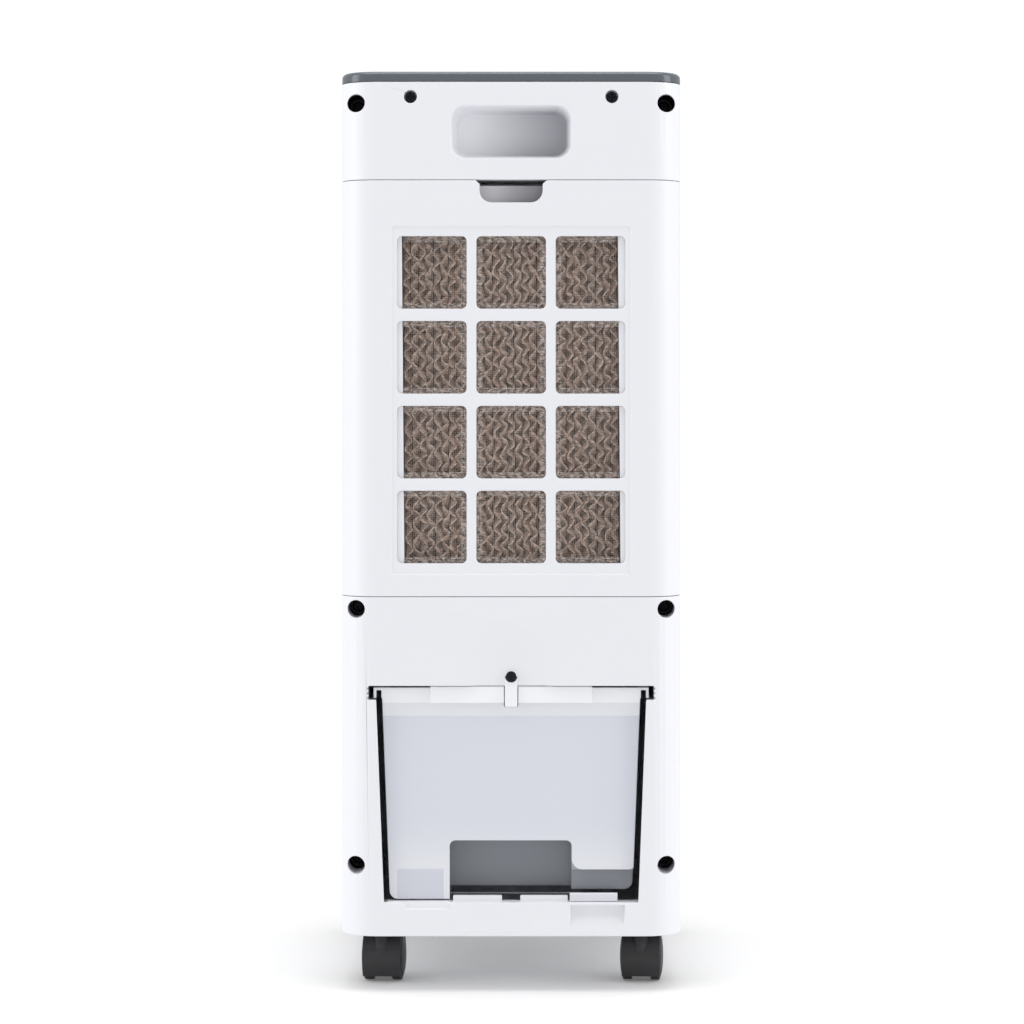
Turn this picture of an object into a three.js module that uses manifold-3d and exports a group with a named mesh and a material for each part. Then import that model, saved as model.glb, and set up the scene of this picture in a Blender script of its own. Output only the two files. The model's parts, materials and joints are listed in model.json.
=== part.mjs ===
// A floor-standing evaporative cooler on four twin-wheel casters, in millimetres with +Z up.
// The air outlet faces -Y, the cooling pad and the water tank are reached from the rear, +Y.
// The origin lies on the floor under the middle of the body.
import * as THREE from "three";
import { mergeVertices } from "three/addons/utils/BufferGeometryUtils.js";
import Module from "manifold-3d";

const wasm = await Module();
wasm.setup();

// ---------------------------------------------------------------- driving dimensions
const WIDTH = 243;
const DEPTH = 280;
const HEIGHT = 654;
const CORNER = 26;
const WALL = 2.5;
const GAP = 0.4;
const PAST = 1; // how far a cutting tool runs past the face it cuts
const REAR = DEPTH / 2;
const SIDE = WIDTH / 2;
const BODY_BOTTOM = 40;
const TOP_THICK = 7.1;
const BODY_TOP = HEIGHT - TOP_THICK - GAP;
const SEAM_Y = 20;

// ---------------------------------------------------------------- materials
function plastic(colour, roughness, metalness = 0) {
  return new THREE.MeshStandardMaterial({ color: colour, roughness, metalness });
}
const WHITE = plastic(0xeff1f5, 0.45);
const SLATE = plastic(0x646a73, 0.35);
const BLACK = plastic(0x1b1c1e, 0.5);
const DARK = plastic(0x303236, 0.55);
const CLOUDY = plastic(0xd7dae4, 0.3);
const CLEAR = plastic(0xdfe8ee, 0.1);
const KRAFT = plastic(0x8b7a6e, 0.95);
const NYLON = plastic(0xd8d4d0, 0.6);
const STEEL = plastic(0x9a9ca0, 0.35, 1);
const BOARD = plastic(0x2c5f3a, 0.6);
const SILICONE = plastic(0xe3e2dc, 0.5);

// ---------------------------------------------------------------- solids from outlines
function toSolid(geometry) {
  const bare = geometry.index ? geometry.toNonIndexed() : geometry.clone();
  bare.deleteAttribute("normal");
  bare.deleteAttribute("uv");
  const merged = mergeVertices(bare, 1e-4);
  return new wasm.Manifold(
    new wasm.Mesh({
      numProp: 3,
      vertProperties: merged.attributes.position.array,
      triVerts: new Uint32Array(merged.index.array),
    }),
  );
}

function toGeometry(solid) {
  const { vertProperties, triVerts } = solid.getMesh();
  const geometry = new THREE.BufferGeometry();
  geometry.setAttribute("position", new THREE.BufferAttribute(vertProperties, 3));
  geometry.setIndex(new THREE.BufferAttribute(triVerts, 1));
  geometry.computeVertexNormals();
  return geometry;
}

function join(...solids) {
  return solids.reduce((whole, solid) => whole.add(solid));
}

function cut(solid, ...tools) {
  return tools.reduce((rest, tool) => rest.subtract(tool), solid);
}

function extrude(shape, length, curveSegments) {
  return new THREE.ExtrudeGeometry(shape, { depth: length, bevelEnabled: false, curveSegments });
}

// The outline lies in XY and runs along Z.
function alongZ(shape, z0, z1, segments = 4) {
  return toSolid(extrude(shape, z1 - z0, segments).translate(0, 0, z0));
}

// The outline's first axis is X and its second is Z; it runs along Y.
function alongY(shape, y0, y1, segments = 4) {
  return toSolid(extrude(shape, y1 - y0, segments).rotateX(Math.PI / 2).translate(0, y1, 0));
}

// The outline's first axis is Y and its second is Z; it runs along X.
const YZ_TO_X = new THREE.Matrix4().set(0, 0, 1, 0, 1, 0, 0, 0, 0, 1, 0, 0, 0, 0, 0, 1);
function alongX(shape, x0, x1, segments = 4) {
  return toSolid(extrude(shape, x1 - x0, segments).applyMatrix4(YZ_TO_X).translate(x0, 0, 0));
}

function box(x0, x1, y0, y1, z0, z1) {
  const block = new THREE.BoxGeometry(x1 - x0, y1 - y0, z1 - z0);
  return toSolid(block.translate((x0 + x1) / 2, (y0 + y1) / 2, (z0 + z1) / 2));
}

function polygon(points) {
  return new THREE.Shape(points.map(([a, b]) => new THREE.Vector2(a, b)));
}

function circle(a, b, radius) {
  return new THREE.Shape().absarc(a, b, radius, 0, 2 * Math.PI, false);
}

function roundedRectangle(a0, a1, b0, b1, radius) {
  const shape = new THREE.Shape();
  shape.moveTo(a0 + radius, b0);
  shape.absarc(a1 - radius, b0 + radius, radius, -Math.PI / 2, 0, false);
  shape.absarc(a1 - radius, b1 - radius, radius, 0, Math.PI / 2, false);
  shape.absarc(a0 + radius, b1 - radius, radius, Math.PI / 2, Math.PI, false);
  shape.absarc(a0 + radius, b0 + radius, radius, Math.PI, 1.5 * Math.PI, false);
  return shape;
}

// One end of the body in plan, from the line y = start round both corners. side is 1 at the rear.
function endPlan(side, start, inset) {
  const halfWidth = SIDE - inset;
  const end = REAR - inset;
  const radius = CORNER - inset;
  const shape = new THREE.Shape();
  shape.moveTo(side * halfWidth, start);
  const turn = side > 0 ? 0 : Math.PI;
  const first = [side * (halfWidth - radius), side * (end - radius)];
  const second = [-first[0], first[1]];
  shape.lineTo(side * halfWidth, first[1]);
  shape.absarc(...first, radius, turn, turn + Math.PI / 2, false);
  shape.absarc(...second, radius, turn + Math.PI / 2, turn + Math.PI, false);
  shape.lineTo(-side * halfWidth, start);
  return shape;
}

// A pocket that narrows from its mouth at y1 to its bottom at y0, drawn about the point (0, z).
function taperedBlock(mouth, bottom, z, y0, y1) {
  const outline = roundedRectangle(
    -mouth.width / 2,
    mouth.width / 2,
    -mouth.height / 2,
    mouth.height / 2,
    mouth.radius,
  );
  const geometry = extrude(outline, y1 - y0, 3);
  const place = geometry.attributes.position;
  for (let i = 0; i < place.count; i++) {
    if (place.getZ(i) > 0.5) {
      place.setX(i, (place.getX(i) * bottom.width) / mouth.width);
      place.setY(i, (place.getY(i) * bottom.height) / mouth.height);
    }
  }
  return toSolid(geometry.rotateX(Math.PI / 2).translate(0, y1, z));
}

const cooler = new THREE.Group();

function add(name, solid, material, parent = cooler) {
  const mesh = new THREE.Mesh(toGeometry(solid), material);
  mesh.name = name;
  parent.add(mesh);
  return mesh;
}

// ---------------------------------------------------------------- filter bay, pad and windows
const BAY_Y = 98;
const FRAME_Z0 = 281.2;
const FRAME_Z1 = 576.7;
const WINDOW = { width: 49.4, height: 51.5, radius: 3.5, pitchX: 56.3, pitchZ: 60.25, z0: 330.45 };
const FIELD = { halfWidth: 84.9, z0: 296.9, z1: 544, depth: 0.6 };
const PAD = { halfWidth: 77.4, z0: 303.8, z1: 538.2, y0: 99, y1: 126.8 };
const CARRIER = { halfWidth: 84, z0: 297, z1: 545, y0: BAY_Y + GAP, y1: 127.6 };
const PAD_HOLE = { halfWidth: 72, z0: 310, z1: 532 };
const HOSE_UP = { x: 92, y: 112 };
const HOSE_DOWN = { x: 65, y: 110 };
const HOSE_RADIUS = 3.5;

// ---------------------------------------------------------------- tank, its opening and its latch
const TANK_REAR = 134;
const TANK_FRONT = -86;
const TANK_WALL = 2.2;
const RIM = { halfWidth: 98, z0: 208.5, z1: 216.2, front: -90, lip: 2 };
const TANK_TOP_HALF = 92.2;
const TANK_LOW_HALF = 86.6;
const TANK_FLOOR = 71;
const FOOT = { x0: 43.7, z: 65.5 };
const GRIP = { x0: -43, x1: 43.7, z: 107.2, y: 108 };
const STEP = { z: 86.6, y: 124 };
const PLATE = { halfWidth: 57.5, z0: 205.3, z1: 217.2, y: 136.5 };
const OPENING = { topHalf: 95.9, lowHalf: 90.3, z0: 64, slotHalf: 101, slotZ0: 207.7, z1: 217.7 };
const LATCH = { z: 224.4, halfWidth: 4.35, tail: 21.6, corner: 1.2, y0: 137.2, y1: 138.6 };
const LATCH_SCREW = { head: 3.75, shank: 1.6 };
const LATCH_SCOOP = { floor: 22.6, mouth: 38, backing: 31, y: 136.9 };

// ---------------------------------------------------------------- rear housing
const BORES_Z = [90, 272, 631.7];
const BORE = { x: 110.2, radius: 6.35, tube: 8.35, floor: 100, end: 97 };
const HANDLE = { z: 610.9, floor: 114.5 };
const HANDLE_MOUTH = { width: 85.5, height: 37.8, radius: 10 };
const HANDLE_BOTTOM = { width: 76.5, height: 28.5 };
const REAR_SCREW = { x: 71.5, z: 636, hole: 4.75, head: 3.9, floor: 133.5 };
const SHELF = { y0: 127, z0: 59.5 };
const FOOT_REST = { x0: 43.5, x1: 88, y1: 138.6, z0: 59.5, z1: 64.6 };
const TONGUE = { halfWidth: 4.5, y0: 131, z0: 202.6, z1: 221 };

function tankOpening() {
  const teeth = 3;
  const pitch = (OPENING.z1 - OPENING.slotZ0) / teeth;
  const side = (sign) => {
    const points = [
      [sign * OPENING.lowHalf, OPENING.z0],
      [sign * OPENING.topHalf, OPENING.slotZ0],
      [sign * OPENING.slotHalf, OPENING.slotZ0],
    ];
    for (let i = 0; i < teeth; i++) {
      points.push([sign * (OPENING.slotHalf + 1.6), OPENING.slotZ0 + (i + 0.3) * pitch]);
      points.push([sign * OPENING.slotHalf, OPENING.slotZ0 + (i + 1) * pitch]);
    }
    return points;
  };
  return polygon([...side(1), ...side(-1).reverse()]);
}

function handleHollow() {
  return taperedBlock(HANDLE_MOUTH, HANDLE_BOTTOM, HANDLE.z, HANDLE.floor, REAR + 0.01);
}

function rearHousing() {
  const start = SEAM_Y + GAP / 2;
  let shell = cut(
    alongZ(endPlan(1, start, 0), BODY_BOTTOM, BODY_TOP),
    alongZ(endPlan(1, start - PAST, WALL), BODY_BOTTOM - PAST, BODY_TOP + PAST),
  );
  const bayZ0 = FRAME_Z0 - GAP;
  const bayZ1 = FRAME_Z1 + GAP;
  shell = cut(shell, box(-SIDE - PAST, SIDE + PAST, BAY_Y, REAR + PAST, bayZ0, bayZ1));
  const ledge = (z0) => alongZ(endPlan(1, BAY_Y - WALL, 1), z0, z0 + WALL);
  const floorLedge = cut(
    ledge(bayZ0 - WALL),
    alongZ(circle(HOSE_UP.x, HOSE_UP.y, 5.5), 0, HEIGHT, 5),
    box(-60, 60, 104, 122, 0, HEIGHT),
  );
  const { floor, mouth, y } = LATCH_SCOOP;
  const backing = alongY(circle(0, LATCH.z, LATCH_SCOOP.backing), y - 2.5, REAR - 1, 9);
  const boss = alongY(circle(0, LATCH.z, 4.5), 124, y - 1, 4);
  const latchScoop = new THREE.CylinderGeometry(mouth, floor, REAR - y, 36);
  const shelf = box(-102, 102, SHELF.y0, REAR - 1, SHELF.z0, OPENING.z0);
  const lip = cut(
    box(-40.3, 41.3, 131.5, 134.5, OPENING.z0 - 1, 68.3),
    box(-6.5, 6.5, 130, REAR, OPENING.z0, 70),
  );
  const footRest = box(FOOT_REST.x0, FOOT_REST.x1, SHELF.y0, FOOT_REST.y1, SHELF.z0, FOOT_REST.z1);
  const scoopBack = box(-82.5, -40, 133, REAR - 1, 46.2, 63);
  let body = join(shell, floorLedge, ledge(bayZ1), backing, boss, shelf, scoopBack);
  const tubes = [];
  const bores = [];
  for (const z of BORES_Z) {
    for (const x of [-BORE.x, BORE.x]) {
      tubes.push(alongY(circle(x, z, BORE.tube), BORE.end, 134, 5));
      bores.push(alongY(circle(x, z, BORE.radius), BORE.floor, REAR + PAST, 10));
    }
  }
  for (const x of [-REAR_SCREW.x, REAR_SCREW.x]) {
    tubes.push(alongY(circle(x, REAR_SCREW.z, 6.8), REAR_SCREW.floor - 3, 138, 4));
    bores.push(alongY(circle(x, REAR_SCREW.z, REAR_SCREW.hole), REAR_SCREW.floor, REAR + PAST, 9));
    bores.push(alongY(circle(x, REAR_SCREW.z, 2.2), 120, REAR, 3));
  }
  const within = alongZ(endPlan(1, start, 1), BODY_BOTTOM, BODY_TOP);
  body = join(body, join(...tubes).intersect(within));
  const scoop = alongX(
    polygon([
      [REAR + PAST, 46.4],
      [REAR + PAST, 62.2],
      [136, 62.2],
      [136.4, 55],
    ]),
    -80.5,
    -42,
  );
  body = cut(
    body,
    handleHollow(),
    ...bores,
    scoop,
    alongY(tankOpening(), 129, REAR + PAST),
    box(FOOT_REST.x0, 75.5, FOOT_REST.y1, REAR + PAST, FOOT_REST.z0, OPENING.z0 + PAST),
    toSolid(latchScoop.translate(0, (y + REAR) / 2, LATCH.z)),
    alongY(circle(0, LATCH.z, LATCH_SCREW.shank + 0.4), 125, REAR, 3),
  );
  const tongue = box(-TONGUE.halfWidth, TONGUE.halfWidth, TONGUE.y0, y - 0.3, TONGUE.z0, TONGUE.z1);
  return join(body, lip, footRest, tongue);
}
add("rear_housing", rearHousing(), WHITE);

// The cup behind the handle opening, fixed to the back of the rear wall.
function handleCup() {
  const wallOf = (block) => ({ width: block.width + 2 * WALL, height: block.height + 2 * WALL });
  const outside = taperedBlock(
    { ...wallOf(HANDLE_MOUTH), radius: HANDLE_MOUTH.radius + WALL },
    wallOf(HANDLE_BOTTOM),
    HANDLE.z,
    HANDLE.floor - WALL,
    REAR,
  );
  const rearWall = box(-SIDE, SIDE, REAR - WALL - 0.3, REAR + PAST, 0, HEIGHT);
  return cut(outside, handleHollow(), rearWall);
}
add("handle_cup", handleCup(), WHITE);

// The inner wall that the pad carrier stands against.
function padBulkhead() {
  const half = SIDE - WALL - GAP;
  return cut(
    box(-half, half, BAY_Y - WALL, BAY_Y, FRAME_Z0, FRAME_Z1),
    box(-PAD_HOLE.halfWidth, PAD_HOLE.halfWidth, 0, REAR, PAD_HOLE.z0, PAD_HOLE.z1),
  );
}
add("pad_bulkhead", padBulkhead(), WHITE);

for (const [side, x] of [["left", REAR_SCREW.x], ["right", -REAR_SCREW.x]]) {
  const head = alongY(circle(x, REAR_SCREW.z, REAR_SCREW.head), REAR_SCREW.floor + 0.3, 136.3, 5);
  const shank = alongY(circle(x, REAR_SCREW.z, 1.7), 122, REAR_SCREW.floor + 1, 3);
  add(`handle_screw_${side}`, join(head, shank), BLACK);
}

// ---------------------------------------------------------------- front housing and level window
const OUTLET = { halfWidth: 86, z0: 452, z1: 602, radius: 9 };
const LEVEL = { halfWidth: 6, z0: 84, z1: 204 };

function frontHousing() {
  const start = SEAM_Y - GAP / 2;
  const { halfWidth, z0, z1, radius } = OUTLET;
  return cut(
    alongZ(endPlan(-1, start, 0), BODY_BOTTOM, BODY_TOP),
    alongZ(endPlan(-1, start + PAST, WALL), BODY_BOTTOM - PAST, BODY_TOP + PAST),
    alongY(roundedRectangle(-halfWidth, halfWidth, z0, z1, radius), -REAR - PAST, -REAR / 2, 3),
    alongY(
      roundedRectangle(-LEVEL.halfWidth, LEVEL.halfWidth, LEVEL.z0, LEVEL.z1, 5.9),
      -REAR - PAST,
      -REAR / 2,
      3,
    ),
  );
}
add("front_housing", frontHousing(), WHITE);

function levelWindow() {
  const grow = 3;
  const { halfWidth, z0, z1 } = LEVEL;
  const pane = roundedRectangle(-halfWidth + 0.3, halfWidth - 0.3, z0 + 0.3, z1 - 0.3, 5.6);
  const flange = roundedRectangle(-halfWidth - grow, halfWidth + grow, z0 - grow, z1 + grow, 8);
  const inside = -REAR + WALL + 0.3;
  return join(alongY(pane, -REAR + 0.4, inside + 0.5, 3), alongY(flange, inside, inside + 1.6, 2));
}
add("level_window", levelWindow(), CLEAR);

// ---------------------------------------------------------------- base plate and caster sockets
const BASE_Z = 42.5;
const BASE_THICK = 3;
const CASTER = { x: 93.5, y: 102, trail: 14.5, stem: 3 };
const SOCKET = { radius: 7, top: 60, hole: 3.4 };
const GLAND = { x: -57, y: 118, hole: 6.2 };

function basePlate() {
  const inset = WALL + GAP;
  const outline = roundedRectangle(
    -SIDE + inset,
    SIDE - inset,
    -REAR + inset,
    REAR - inset,
    CORNER - inset,
  );
  let plate = alongZ(outline, BASE_Z, BASE_Z + BASE_THICK);
  const holes = [alongZ(circle(GLAND.x, GLAND.y, GLAND.hole), BASE_Z - PAST, SOCKET.top, 5)];
  for (const x of [-CASTER.x, CASTER.x]) {
    for (const y of [-CASTER.y, CASTER.y]) {
      plate = join(plate, alongZ(circle(x, y, SOCKET.radius), BASE_Z + 1, SOCKET.top, 5));
      holes.push(alongZ(circle(x, y, SOCKET.hole), BASE_Z - PAST, SOCKET.top - 3, 5));
    }
  }
  for (const y of [-60, -20, 20, 60]) {
    holes.push(box(-55, 55, y - 3, y + 3, BASE_Z - PAST, SOCKET.top));
  }
  return cut(plate, ...holes);
}
add("base_plate", basePlate(), WHITE);

function cordBushing() {
  const sleeve = alongZ(circle(GLAND.x, GLAND.y, GLAND.hole - 0.4), BASE_Z - 2, 52, 5);
  const flange = alongZ(circle(GLAND.x, GLAND.y, GLAND.hole + 2.2), BASE_Z - 2, BASE_Z - 0.3, 5);
  return cut(join(sleeve, flange), alongZ(circle(GLAND.x, GLAND.y, 3.6), 0, 60, 4));
}
add("cord_bushing", cordBushing(), BLACK);

// A clip that stands on the shelf and closes the notch where the cord is let out.
function cordCover() {
  const profile = polygon([
    [133.6, OPENING.z0 + 0.3],
    [136.8, OPENING.z0 + 0.3],
    [136.8, 69.4],
    [135.8, 70.4],
    [134.6, 70.4],
    [133.6, 69.4],
  ]);
  return alongX(profile, -75.6, -41.6);
}
add("cord_cover", cordCover(), WHITE);

// ---------------------------------------------------------------- top panel, fascia and buttons
const FASCIA = { halfWidth: 84, y0: -118, y1: -60, thick: 1.8 };
const BUTTON = { pitch: 31, y: -100, radius: 7, travel: 1, count: 5 };
const LENS = { halfWidth: 38, y0: -79, y1: -71 };
const BOARD_Z = 630;
const buttonX = (i) => (i - (BUTTON.count - 1) / 2) * BUTTON.pitch;

function topPanel() {
  const inset = 0.2;
  const plan = (grow) =>
    roundedRectangle(
      -SIDE + inset + grow,
      SIDE - inset - grow,
      -REAR + inset + grow,
      REAR - inset - grow,
      CORNER - inset - grow,
    );
  const skirt = alongZ(plan(0), HEIGHT - TOP_THICK, HEIGHT - 3.2, 5);
  const crown = alongZ(plan(1), HEIGHT - 3.3, HEIGHT - 1.4, 5);
  const cap = alongZ(plan(2.6), HEIGHT - 1.5, HEIGHT, 5);
  const pocket = roundedRectangle(-FASCIA.halfWidth, FASCIA.halfWidth, FASCIA.y0, FASCIA.y1, 7);
  const holes = [];
  for (let i = 0; i < BUTTON.count; i++) {
    holes.push(alongZ(circle(buttonX(i), BUTTON.y, BUTTON.radius + 0.8), 600, HEIGHT + PAST, 10));
  }
  return cut(
    join(skirt, crown, cap),
    alongZ(plan(WALL), HEIGHT - TOP_THICK - PAST, HEIGHT - TOP_THICK + 2.4),
    alongZ(pocket, HEIGHT - FASCIA.thick - 0.4, HEIGHT + PAST, 3),
    box(-LENS.halfWidth, LENS.halfWidth, LENS.y0, LENS.y1, 600, HEIGHT),
    ...holes,
  );
}
add("top_panel", topPanel(), SLATE);

function controlFascia() {
  const { halfWidth, y0, y1, thick } = FASCIA;
  const sheet = roundedRectangle(-halfWidth + 0.3, halfWidth - 0.3, y0 + 0.3, y1 - 0.3, 6.7);
  const holes = [];
  for (let i = 0; i < BUTTON.count; i++) {
    holes.push(alongZ(circle(buttonX(i), BUTTON.y, BUTTON.radius + 0.5), 600, HEIGHT + PAST, 10));
  }
  const slot = box(-LENS.halfWidth, LENS.halfWidth, LENS.y0, LENS.y1, 600, HEIGHT + PAST);
  return cut(alongZ(sheet, HEIGHT - thick, HEIGHT - 0.1, 3), slot, ...holes);
}
add("control_fascia", controlFascia(), BLACK);

for (let i = 0; i < BUTTON.count; i++) {
  const cap = alongZ(circle(buttonX(i), BUTTON.y, BUTTON.radius), HEIGHT - 4.5, HEIGHT - 0.2, 6);
  const stem = alongZ(circle(buttonX(i), BUTTON.y, 2), BOARD_Z + 6.2, HEIGHT - 4, 3);
  add(`button_${i + 1}`, join(cap, stem), SLATE);
}

add(
  "display_lens",
  box(-LENS.halfWidth + 0.3, LENS.halfWidth - 0.3, LENS.y0 + 0.3, LENS.y1 - 0.3, 644, HEIGHT - 0.2),
  CLEAR,
);

function controlBoard() {
  let board = box(-82, 82, FASCIA.y0 + 4, FASCIA.y1, BOARD_Z, BOARD_Z + 1.6);
  for (let i = 0; i < BUTTON.count; i++) {
    const x = buttonX(i);
    board = join(board, box(x - 3, x + 3, BUTTON.y - 3, BUTTON.y + 3, BOARD_Z + 1, BOARD_Z + 4.8));
  }
  return board;
}
add("control_board", controlBoard(), BOARD);

// ---------------------------------------------------------------- outlet frame, louvres and vanes
const DUCT = { halfWidth: OUTLET.halfWidth - GAP, wall: 3, front: -REAR + 0.5, back: -68.4 };
const DUCT_Z0 = OUTLET.z0 + GAP;
const DUCT_Z1 = OUTLET.z1 - GAP;
const DUCT_INNER = DUCT.halfWidth - DUCT.wall;
const LOUVRE = { count: 5, pitch: 28.64, z0: 469.72, y: -121, chord: 30, crank: 11.5, tilt: 20 };
const VANE = { count: 5, pitch: 33, y: -84, chord: 24, thick: 1.6, crank: 10, z0: 462, z1: 596.6 };
const PIN = 1.5;
const PIN_HOLE = 2;
const CRANK_PIN = 1.1;
const CRANK_HOLE = 1.6;
const louvreZ = (i) => LOUVRE.z0 + i * LOUVRE.pitch;
const vaneX = (i) => (i - (VANE.count - 1) / 2) * VANE.pitch;

function outletFrame() {
  const { halfWidth, wall, front, back } = DUCT;
  const outer = roundedRectangle(-halfWidth, halfWidth, DUCT_Z0, DUCT_Z1, OUTLET.radius - GAP);
  const inner = roundedRectangle(-DUCT_INNER, DUCT_INNER, DUCT_Z0 + wall, DUCT_Z1 - wall, 5.6);
  const holes = [];
  for (let i = 0; i < LOUVRE.count; i++) {
    holes.push(alongX(circle(LOUVRE.y, louvreZ(i), PIN_HOLE), -100, 100, 3));
  }
  for (let i = 0; i < VANE.count; i++) {
    holes.push(alongZ(circle(vaneX(i), VANE.y, PIN_HOLE), DUCT_Z0 - PAST, DUCT_Z1 + PAST, 3));
  }
  return cut(
    alongY(outer, front, back, 3),
    alongY(inner, front - PAST, back + PAST, 3),
    ...holes,
  );
}
add("outlet_frame", outletFrame(), SLATE);

const BLADE_X0 = -77.4;
const BLADE_X1 = DUCT_INNER - 0.5;
function louvreBlade() {
  const half = LOUVRE.chord / 2;
  const thick = 1.5;
  const blade = polygon([
    [-half, -0.4],
    [-half * 0.4, -thick],
    [half * 0.4, -thick * 0.9],
    [half, -0.5],
    [half, 0.5],
    [half * 0.4, thick * 0.9],
    [-half * 0.4, thick],
    [-half, 0.4],
  ]);
  return join(
    alongX(blade, BLADE_X0, BLADE_X1),
    alongX(circle(0, 0, PIN), -DUCT.halfWidth + 0.3, BLADE_X0 + 1, 3),
    alongX(circle(0, 0, PIN), BLADE_X1 - 1, DUCT.halfWidth - 0.3, 3),
    alongX(circle(LOUVRE.crank, 0, CRANK_PIN), BLADE_X0 - 4.2, BLADE_X0 + 1, 3),
  );
}

const TILT = THREE.MathUtils.degToRad(LOUVRE.tilt);
for (let i = 0; i < LOUVRE.count; i++) {
  const louvre = add(`louvre_${i + 1}`, louvreBlade(), SLATE);
  louvre.rotation.x = TILT;
  louvre.position.set(0, LOUVRE.y, louvreZ(i));
}

function louvreLink() {
  const y = LOUVRE.y + LOUVRE.crank * Math.cos(TILT);
  const rise = LOUVRE.crank * Math.sin(TILT);
  const end = 3.5;
  const bar = box(-80.9, -78.7, y - 3, y + 3, louvreZ(0) + rise - end, louvreZ(4) + rise + end);
  const holes = [];
  for (let i = 0; i < LOUVRE.count; i++) {
    holes.push(alongX(circle(y, louvreZ(i) + rise, CRANK_HOLE), -90, -70, 3));
  }
  return cut(bar, ...holes);
}
add("louvre_link", louvreLink(), DARK);

function vane(x) {
  const { y, chord, thick, z0, z1, crank } = VANE;
  return join(
    box(x - thick / 2, x + thick / 2, y - chord / 2, y + chord / 2, z0, z1),
    alongZ(circle(x, y, PIN), DUCT_Z0 - 1.8, z0 + 1, 3),
    alongZ(circle(x, y, PIN), z1 - 1, DUCT_Z1 - 0.3, 3),
    alongZ(circle(x, y + crank, CRANK_PIN), DUCT_Z0 + DUCT.wall + 0.8, z0 + 1, 3),
  );
}
for (let i = 0; i < VANE.count; i++) {
  add(`vane_${i + 1}`, vane(vaneX(i)), DARK);
}

function vaneLink() {
  const y = VANE.y + VANE.crank;
  const end = vaneX(VANE.count - 1) + 4;
  const holes = [];
  for (let i = 0; i < VANE.count; i++) {
    holes.push(alongZ(circle(vaneX(i), y, CRANK_HOLE), 450, 470, 3));
  }
  return cut(box(-end, end, y - 3, y + 3, 458, 460), ...holes);
}
add("vane_link", vaneLink(), DARK);

// The stepper turns the middle vane from below the duct.
add("swing_motor", alongZ(circle(0, VANE.y, 13), 436, DUCT_Z0 - 2.2, 6), STEEL);

// ---------------------------------------------------------------- cross-flow fan and its casing
const FAN = { y: 8, z: 515, radius: 50, halfLength: 76, blades: 20, shaft: 3 };
const CASE = { inner: 84, wall: 2.5, front: DUCT.back + 0.8, z0: 448, z1: 606, back: 76 };

function fanWheel() {
  const disc = (x0, x1, radius) => alongX(circle(FAN.y, FAN.z, radius), x0, x1, 10);
  const { halfLength } = FAN;
  const thick = 2.5;
  let wheel = join(
    disc(-halfLength, -halfLength + thick, FAN.radius),
    disc(-thick / 2, thick / 2, FAN.radius),
    disc(halfLength - thick, halfLength, FAN.radius),
    alongX(circle(FAN.y, FAN.z, 9), halfLength - 16, halfLength + 1, 5),
    alongX(circle(FAN.y, FAN.z, FAN.shaft), -89, -halfLength + 1, 4),
  );
  for (let i = 0; i < FAN.blades; i++) {
    const turn = (2 * Math.PI * i) / FAN.blades;
    const blade = new THREE.BoxGeometry(2 * halfLength - 1, 1.4, 13);
    blade.rotateX(0.6).translate(0, 0, FAN.radius - 7.5);
    blade.rotateX(turn).translate(0, FAN.y, FAN.z);
    wheel = join(wheel, toSolid(blade));
  }
  return cut(wheel, alongX(circle(FAN.y, FAN.z, FAN.shaft + 0.4), 62, 90, 4));
}
add("fan_wheel", fanWheel(), DARK);

function fanCasing() {
  const start = THREE.MathUtils.degToRad(20);
  const sweep = THREE.MathUtils.degToRad(120);
  const steps = 8;
  const inner = [];
  const outer = [];
  for (let i = 0; i <= steps; i++) {
    const angle = start - (sweep * i) / steps;
    const radius = FAN.radius + 4 + (12 * i) / steps;
    const point = (r) => [FAN.y + r * Math.cos(angle), FAN.z + r * Math.sin(angle)];
    inner.push(point(radius));
    outer.push(point(radius + CASE.wall));
  }
  const floorZ = DUCT_Z0 + 0.5;
  const guide = polygon([
    ...inner,
    [CASE.front, floorZ],
    [CASE.front, floorZ - CASE.wall],
    ...outer.reverse(),
  ]);
  const tongue = polygon([
    [CASE.front, 598],
    [-19.5, 563],
    [-16, 566],
    [CASE.front, 601],
  ]);
  const side = polygon([
    [CASE.front, CASE.z0],
    [40, CASE.z0],
    [CASE.back, 480],
    [CASE.back, 560],
    [40, CASE.z1],
    [CASE.front, CASE.z1],
  ]);
  const edge = CASE.inner + CASE.wall;
  return cut(
    join(
      alongX(guide, -CASE.inner - 1, CASE.inner + 1),
      alongX(tongue, -CASE.inner - 1, CASE.inner + 1),
      alongX(side, -edge, -CASE.inner),
      alongX(side, CASE.inner, edge),
    ),
    alongX(circle(FAN.y, FAN.z, 12), CASE.inner - PAST, edge + PAST, 6),
    alongX(circle(FAN.y, FAN.z, 6.5), -edge - PAST, -CASE.inner + PAST, 5),
  );
}
add("fan_casing", fanCasing(), WHITE);

function fanMotor() {
  const can = alongX(circle(FAN.y, FAN.z, 36), CASE.inner + CASE.wall + 0.4, 115, 8);
  const nose = alongX(circle(FAN.y, FAN.z, 11), CASE.inner - 2, CASE.inner + 6, 6);
  return join(can, nose, alongX(circle(FAN.y, FAN.z, FAN.shaft), 63, CASE.inner, 4));
}
add("fan_motor", fanMotor(), STEEL);

function fanBearing() {
  const edge = -CASE.inner - CASE.wall;
  return cut(
    join(
      alongX(circle(FAN.y, FAN.z, 6), edge - 3, -CASE.inner + 2, 5),
      alongX(circle(FAN.y, FAN.z, 9), edge - 3, edge - 0.3, 5),
    ),
    alongX(circle(FAN.y, FAN.z, FAN.shaft + 0.4), -110, -60, 4),
  );
}
add("fan_bearing", fanBearing(), BLACK);

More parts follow.
